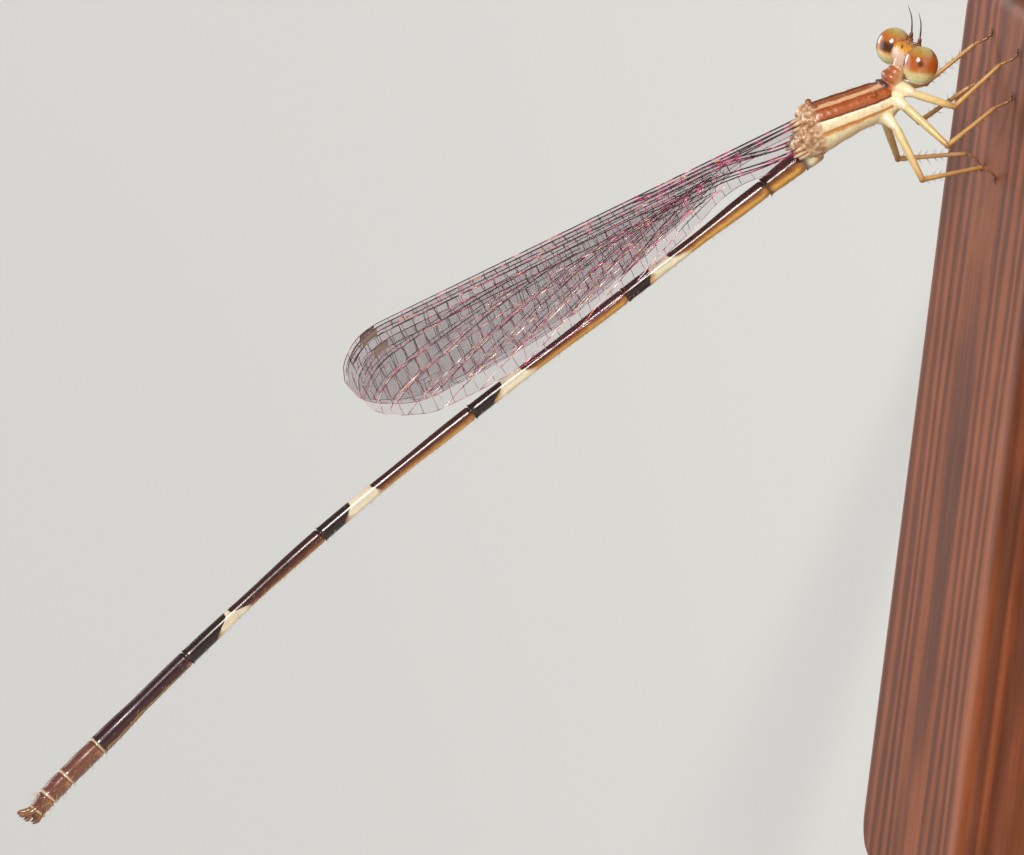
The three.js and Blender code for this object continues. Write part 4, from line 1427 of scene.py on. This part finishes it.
wing = {
    "pitch": 59.4,
    "rootLine": (-1.3, 0, 7.5),
    "stalkWidth": 0.52,
    "widthKnots": [
        (0, 0), (0.12, 0.01), (0.186, 0.11), (0.24, 0.26), (0.302, 0.40), (0.377, 0.57),
        (0.5, 0.80), (0.62, 0.93), (0.76, 1), (1, 1),
    ],
    "tipFrom": 0.86,
    "tipDropShare": 0.46,
    "sheet": 0.018,
    "fluting": 0.035,
    "stigma": (0.905, 0.938),
    "crossGap": 0.50,
    "rimRadius": 0.032,
    "mainRadius": 0.027,
    "veinRadius": 0.019,
    "crossRadius": 0.0095,
    # vein colour: dark brown, then painted glints of magenta, gold and pinkish white that stand in for light
    # reflected off the veins
    "veinAndGlintColours": [
        (0.40, 58, 36, 30), (0.47, 104, 36, 68), (0.53, 204, 40, 124), (0.59, 218, 152, 62),
        (0.66, 250, 226, 232),
    ],
    "rimSteps": 120,
    "sheetColumns": 150,
    "sheetRows": 26,
    "crossFrom": 0.10,               # share of the length where cross veins start
    "frontCrossFrom": 0.36,          # and where those along the leading edge come close together
    "leastCell": 0.08,
    "cellHeight": 0.62,
    # each long vein: where it starts, how far behind the leading edge, where it ends, how it bends
    "veins": {
        "subcosta": (0.0, 0.12, 0.36, 0.0),
        "radius": (0.0, 0.22, 0.975, 0.0),
        "radialSector": (0.19, 0.50, 0.985, 3.2),
        "intercalary": (0.60, 1.0, 0.965, 1.5),
        "secondSector": (0.48, 0.86, 0.93, 1.6),
        "thirdSector": (0.36, 0.86, 0.86, 1.5),
        "fourthSector": (0.28, 0.80, 0.78, 1.5),
        "median": (0.22, 0.66, 0.68, 1.4),
        "medianHind": (0.20, 0.56, 0.56, 1.35),
        "cubitus": (0.17, 0.46, 0.42, 1.2),
    },
}
wings = {
    "fore": {
        "length": 19.9, "width": 3.35, "back": 0.25, "drop": 0, "rootY": 0.20, "sideY": 0.20, "riseTo": 0,
    },
    "hind": {
        "length": 19.3, "width": 3.45, "back": 0.65, "drop": 0.83, "rootY": 0.62, "sideY": 0.94,
        "riseTo": 0.35,
    },
}
wingFrame = localFrame(wing["rootLine"], wing["pitch"])


def wingWidth(share, sizes):
    full = lerp(wing["stalkWidth"], sizes["width"], flowing(wing["widthKnots"], share))
    past = (share - wing["tipFrom"]) / (1 - wing["tipFrom"])
    return max(full * math.sqrt(max(0, 1 - max(0, past) ** 2)), 0.02)


def wingPoint(sizes, side, share, depth, lift=0.0):
    width = wingWidth(share, sizes)
    past = (share - wing["tipFrom"]) / (1 - wing["tipFrom"])
    tipDrop = wing["tipDropShare"] * max(0, sizes["width"] - width) * smooth(past)
    drop = eased([(0, sizes["drop"]), (0.2, sizes["riseTo"]), (1, sizes["riseTo"])], share)
    across = eased([(0, sizes["rootY"]), (0.13, sizes["sideY"]), (1, sizes["sideY"])], share)
    flute = wing["fluting"] * math.sin(depth * 9.5) * smooth(share / 0.2) * smooth((1 - share) / 0.08)
    return wingFrame @ Vector((
        -sizes["back"] - share * sizes["length"],
        side * (across + 0.03 + flute + lift),
        -drop - tipDrop - depth,
    ))


def veinDepth(name, share, sizes):
    start, depth, end, bend = wing["veins"][name]
    width = wingWidth(share, sizes)
    if name == "subcosta":
        return 0.13 * (1 - smooth((share - 0.30) / 0.06)) * min(1, width / 0.5)
    if name == "radius":
        settled = lerp(0.14, 0.30, smooth(share / 0.25))
        return min(settled, width * 0.5)
    t = clamp((share - start) / (end - start))
    return min(lerp(depth, wingWidth(end, sizes), t ** bend), width)


def longVeins(sizes, side):
    lines = []
    steps = wing["rimSteps"]
    rim = [(k / steps, 0.0) for k in range(steps + 1)] + [(1 - k / steps, None) for k in range(steps + 1)]
    points = [wingPoint(sizes, side, u, wingWidth(u, sizes) if c is None else c) for u, c in rim]
    radii = [wing["rimRadius"] * (1 - 0.55 * u) if c == 0 else wing["crossRadius"] * 1.1 for u, c in rim]
    lines.append((points, radii))
    for name, (start, depth, end, bend) in wing["veins"].items():
        count = max(12, round((end - start) * 110))
        shares = [lerp(start, end, k / count) for k in range(count + 1)]
        size = wing["mainRadius"] if name in ("subcosta", "radius") else wing["veinRadius"]
        points = [wingPoint(sizes, side, u, veinDepth(name, u, sizes)) for u in shares]
        lines.append((points, [size * (1 - 0.35 * u) for u in shares]))
    return lines


# Cross veins between each vein and the next one that exists at that place
def crossVeins(sizes, side, chance):
    lines = []
    count = round(sizes["length"] / wing["crossGap"])
    names = list(wing["veins"])
    for k in range(1, count):
        here = k / count
        if here < wing["crossFrom"]:
            continue
        alive = [0.0]
        for name in names:
            start, depth, end, bend = wing["veins"][name]
            if name != "subcosta" and start < here < end:
                alive.append(veinDepth(name, here, sizes))
        alive = sorted(set(alive + [wingWidth(here, sizes)]))
        for row, (near, far) in enumerate(zip(alive, alive[1:])):
            if far - near < wing["leastCell"]:
                continue
            if row == 0 and here < wing["frontCrossFrom"] and k % 5:
                continue
            if wing["stigma"][0] - 0.01 < here < wing["stigma"][1] + 0.01 and row == 0:
                continue
            rows = max(1, round((far - near) / wing["cellHeight"]))
            for part in range(rows):
                top = lerp(near, far, part / rows)
                low = lerp(near, far, (part + 1) / rows)
                shift = ((row + part) % 2) * 0.45 / count + chance.uniform(-0.12, 0.12) / count
                lean = chance.uniform(-0.1, 0.1) / count
                middle = (top + low) / 2
                points = []
                for depth, way in ((top, -1), (middle, 0), (low, 1)):
                    spot = clamp(here + shift + lean * way, 0, 0.995)
                    points.append(wingPoint(sizes, side, spot, min(depth, wingWidth(spot, sizes))))
                lines.append((points, [wing["crossRadius"]] * 3))
            for part in range(1, rows):
                depth = lerp(near, far, part / rows)
                if depth < wingWidth(here + 1 / count, sizes):
                    points = [wingPoint(sizes, side, here + step / count, depth) for step in (0, 0.5, 1)]
                    lines.append((points, [wing["crossRadius"]] * 3))
    return lines


def sheetGrid(columns, rows, place):
    verts = []
    for face in (1, -1):
        verts += [place(i / columns, j / rows, face) for i in range(columns + 1) for j in range(rows + 1)]
    row = rows + 1
    other = (columns + 1) * row
    faces = []
    for i in range(columns):
        for j in range(rows):
            a = i * row + j
            faces.append((a, a + row, a + row + 1, a + 1))
            faces.append((a + other, a + other + 1, a + other + row + 1, a + other + row))
    rim = list(range(rows)) + [i * row + rows for i in range(columns)]
    rim += [columns * row + j for j in range(rows, 0, -1)] + [i * row for i in range(columns, 0, -1)]
    for k, start in enumerate(rim):
        end = rim[(k + 1) % len(rim)]
        faces.append((end, start, start + other, end + other))
    return outward(verts, faces)


def membraneFinish():
    material, tree, shader = startMaterial("wingMembrane", 0.16, more={
        "IOR": 1.56, "Thin Film Thickness": 290.0, "Thin Film IOR": 1.42, "Specular IOR Level": 0.9,
    })
    cloud = noiseHere(tree, 900.0)
    colour = rampOf(tree, cloud, [(0.3, 74, 46, 40), (0.5, 94, 62, 54), (0.7, 98, 46, 74)])
    coverWith(tree, shader, colour, 2.0, 0.15, 9.0, 0.25)
    tree.links.new(sums(tree, "MULTIPLY_ADD", cloud, 0.06, 0.055), shader.inputs["Alpha"])
    return material


# Veins: dark brown base colour with painted glints in it, gathered in a band below the leading edge; less
# lowers their share
def veinFinish(name, less):
    material, tree, shader = startMaterial(name, 0.28, 0.5, 0.12, more={"Metallic": 0.45})
    where = addNode(tree, "ShaderNodeTexCoord").outputs["Object"]
    below = (wingFrame.to_3x3() @ Vector((0, 0, -1))).normalized()
    reach = addNode(tree, "ShaderNodeVectorMath", {0: where, 1: below}, operation="DOT_PRODUCT")
    fromEdge = reach.outputs["Value"]
    start = (toRow @ Vector(wing["rootLine"])).dot(below)
    # Painted glints: the band from about 0.9 to 2.2 mm below the leading edge gets more of the glint colours
    paintedGlintBand = edge(tree, fromEdge, start + 0.9 * mm, start + 2.2 * mm)
    glintShift = sums(tree, "MULTIPLY_ADD", paintedGlintBand, 0.14, less - 0.07)
    colour = rampOf(tree, sums(tree, "ADD", noiseHere(tree, 1900.0), glintShift), wing["veinAndGlintColours"])
    coverWith(tree, shader, colour, 3.0, 0.2, 20.0, 0.15)
    return material


def stigmaFinish():
    material, tree, shader = startMaterial("wingSpot", 0.35, 0.4)
    coverWith(tree, shader, paint(116, 96, 84), 5.0, 0.3, 12.0, 0.2)
    return material


def sclerite(place, semi, side, sizes):
    x, y, z = place
    centre = (-sizes["back"] + x, side * (sizes["rootY"] + 0.03 + y), -sizes["drop"] + z)
    return ellipsoid(centre, semi, wingFrame, 18, 12)


def makeWings():
    membrane, spot = membraneFinish(), stigmaFinish()
    vein = veinFinish("wingVein", 0.0)
    net = veinFinish("wingNet", -0.05)
    hinge, tree, shader = startMaterial("hingePlate", 0.34, 0.5, 0.15)
    coverWith(tree, shader, paint(196, 160, 124), 6.0, 0.5, 14.0, 0.3)
    chance = random.Random(7)
    hingeParts = []
    for pair, sizes in wings.items():
        for name, side in bothSides:
            def place(share, chord, face, sizes=sizes, side=side):
                depth = chord * wingWidth(share, sizes)
                return wingPoint(sizes, side, share, depth, face * wing["sheet"] / 2)

            def spotPlace(share, chord, face, sizes=sizes, side=side):
                u = lerp(*wing["stigma"], share) + 0.006 * chord
                return wingPoint(sizes, side, u, lerp(0.02, 0.29, chord), face * 0.032)
            sheet = sheetGrid(wing["sheetColumns"], wing["sheetRows"], place)
            plate = sheetGrid(10, 6, spotPlace)
            verts, faces, slots = combine([(0, sheet), (1, plate)])
            blade = makePiece(pair + "Wing" + name, verts, faces, [membrane, spot], slots)
            mount(blade, "wing", "%swing_%s" % (pair, name.lower()))
            mount(growLines(pair + "Veins" + name, longVeins(sizes, side), vein, 6), "wing")
            mount(growLines(pair + "Net" + name, crossVeins(sizes, side, chance), net, 4), "wing")
            hingeParts += [
                sclerite((0.02, 0, -0.06), (0.34, 0.10, 0.09), side, sizes),
                sclerite((-0.10, 0.03, -0.24), (0.30, 0.08, 0.08), side, sizes),
                sclerite((0.04, -0.02, -0.40), (0.26, 0.09, 0.09), side, sizes),
            ]
    mount(makePiece("wingHinges", *joined(hingeParts), [hinge]), "wing")


makeWings()
print("damselfly: wings made")


# Fine pale hairs: along the belly, on the tail and on the flanks of the thorax

hairs = {
    "seed": 5,
    "belly": 900,
    "radius": 0.006,
    "length": 0.17,
    "tail": 160,
    "thorax": 700,
    "thoraxLength": 0.13,
}


def hairFinish():
    material, tree, shader = startMaterial("paleHair", 0.4, more={"Sheen Weight": 0.2})
    coverWith(tree, shader, paint(206, 176, 138), 2.0, 0.2, 10.0, 0.05)
    return material


def makeHairs():
    finish = hairFinish()
    chance = random.Random(hairs["seed"])
    bristles = []
    total = sum(segment[0] for segment in abdomen["segments"])
    for number, segment in enumerate(abdomen["segments"], 1):
        for k in range(round(hairs["belly"] * segment[0] / total)):
            share = chance.random()
            angle = math.pi + chance.gauss(0, 0.9)
            point, tangent = abdomenLine(number, share)
            foot = abdomenPoint(number, share, angle)
            stand = (foot - point).normalized()
            lean = (stand + tangent * chance.uniform(0.6, 1.2)).normalized()
            bristles.append((foot, lean, hairs["radius"], hairs["length"] * chance.uniform(0.6, 1.2)))
    for k in range(hairs["tail"]):
        number = chance.choice((8, 9, 10, 10))
        share = chance.random()
        angle = chance.uniform(0, 2 * math.pi)
        point, tangent = abdomenLine(number, share)
        foot = abdomenPoint(number, share, angle)
        lean = ((foot - point).normalized() + tangent * chance.uniform(0.5, 1.0)).normalized()
        bristles.append((foot, lean, hairs["radius"] * 1.3, hairs["length"] * chance.uniform(0.8, 1.5)))
    shell = BVHTree.FromPolygons(*thoraxShell())
    for k in range(hairs["thorax"]):
        back = chance.uniform(0.0, 3.0)
        high = chance.uniform(-0.8, 0.9)
        side = chance.choice((1, -1))
        start = thoraxFrame @ Vector((-back, side * 3, high))
        spot, normal, index, distance = shell.ray_cast(start, Vector((0, -side, 0)))
        if spot:
            lean = (normal + Vector((-0.4, 0, 0.7))).normalized()
            bristles.append((spot, lean, hairs["radius"], hairs["thoraxLength"] * chance.uniform(0.6, 1.3)))
    mount(growBristles("bodyHairs", bristles, finish, 0.25, hairs["seed"]), "body")


makeHairs()
print("damselfly: hairs made")


# Wooden base with a moulded edge

board = {
    "length": 36,
    "width": 14,
    "corner": 2,
    "cornerPoints": 10,
    # how far each line of the edge stands in, and its height
    "edge": [
        (0.30, 0.0), (0.0, 0.30), (0.0, 1.72), (0.20, 1.90), (0.24, 2.04), (0.14, 2.18),
        (0.10, 2.36), (0.16, 2.60), (0.34, 2.82), (0.62, 2.96), (0.95, 3.0),
    ],
    "colours": [(0.28, 76, 35, 18), (0.62, 116, 58, 29), (0.95, 150, 80, 42)],
}


def woodFinish():
    material, tree, shader = startMaterial("stainedWood", 0.5, 0.08, 0.25, more={"Specular IOR Level": 0.35})
    where = addNode(tree, "ShaderNodeTexCoord").outputs["Object"]
    turned = addNode(tree, "ShaderNodeMapping", {
        "Vector": where, "Rotation": (0.0, 0.05, 0.06), "Scale": (60, 620, 620),
    })
    warp = addNode(tree, "ShaderNodeTexNoise", {"Vector": turned.outputs[0], "Scale": 0.9, "Detail": 5.0})
    rings = addNode(tree, "ShaderNodeTexWave", {
        "Vector": turned.outputs[0], "Scale": 0.55, "Distortion": 7.0, "Detail": 3.0, "Detail Scale": 1.2,
    }, wave_type="RINGS", rings_direction="X")
    fine = addNode(tree, "ShaderNodeMapping", {"Vector": where, "Scale": (350, 9000, 9000)})
    pores = addNode(tree, "ShaderNodeTexNoise", {"Vector": fine.outputs[0], "Scale": 1.0, "Detail": 3.0})
    figure = sums(tree, "MULTIPLY_ADD", warp.outputs["Fac"], 0.5, product(tree, rings.outputs["Fac"], 0.45))
    figure = sums(tree, "MULTIPLY_ADD", pores.outputs["Fac"], 0.35, figure)
    colour = rampOf(tree, figure, board["colours"])
    cover = coverWith(tree, shader, colour, 0.4, 0.12, 6.0, 0.15, (0.32, 0.46))
    bump = addNode(tree, "ShaderNodeBump", {"Height": figure, "Strength": 0.25, "Distance": 0.00006})
    tree.links.new(cover.outputs["Normal"], bump.inputs["Normal"])
    tree.links.new(bump.outputs["Normal"], shader.inputs["Normal"])
    return material


def makeBoard():
    bottom = groundLevel - board["edge"][-1][1]
    verts = []
    for inset, high in board["edge"]:
        halfX = board["length"] / 2 - board["corner"]
        halfY = board["width"] / 2 - board["corner"]
        radius = board["corner"] - inset
        for quarter in range(4):
            for k in range(board["cornerPoints"] + 1):
                angle = math.pi / 2 * (quarter + k / board["cornerPoints"])
                signX = 1 if quarter in (0, 3) else -1
                signY = 1 if quarter in (0, 1) else -1
                verts.append(Vector((
                    -insectAt["ahead"] + signX * halfX + radius * math.cos(angle),
                    signY * halfY + radius * math.sin(angle),
                    bottom + high,
                )))
    for row in (0, -1):
        verts.append(Vector((-insectAt["ahead"], 0, bottom + board["edge"][row][1])))
    verts, faces = outward(verts, ringFaces(len(board["edge"]), 4 * (board["cornerPoints"] + 1)))
    mount(makePiece("standBoard", verts, faces, [woodFinish()]), "wood", "stand_base")


makeBoard()
print("damselfly: base made")


# Plain pale floor

floor = {"halfSize": 3.0, "colour": paint(204, 204, 202)}


def makeFloor():
    size = floor["halfSize"]
    mesh = bpy.data.meshes.new("floor")
    corners = [(-size, -size, 0), (size, -size, 0), (size, size, 0), (-size, size, 0)]
    mesh.from_pydata(corners, [], [(0, 1, 2, 3)])
    material, tree, shader = startMaterial("paleFloor", 0.7)
    shader.inputs["Base Color"].default_value = floor["colour"]
    mesh.materials.append(material)
    linked("floor", mesh)


makeFloor()
print("damselfly: floor made")
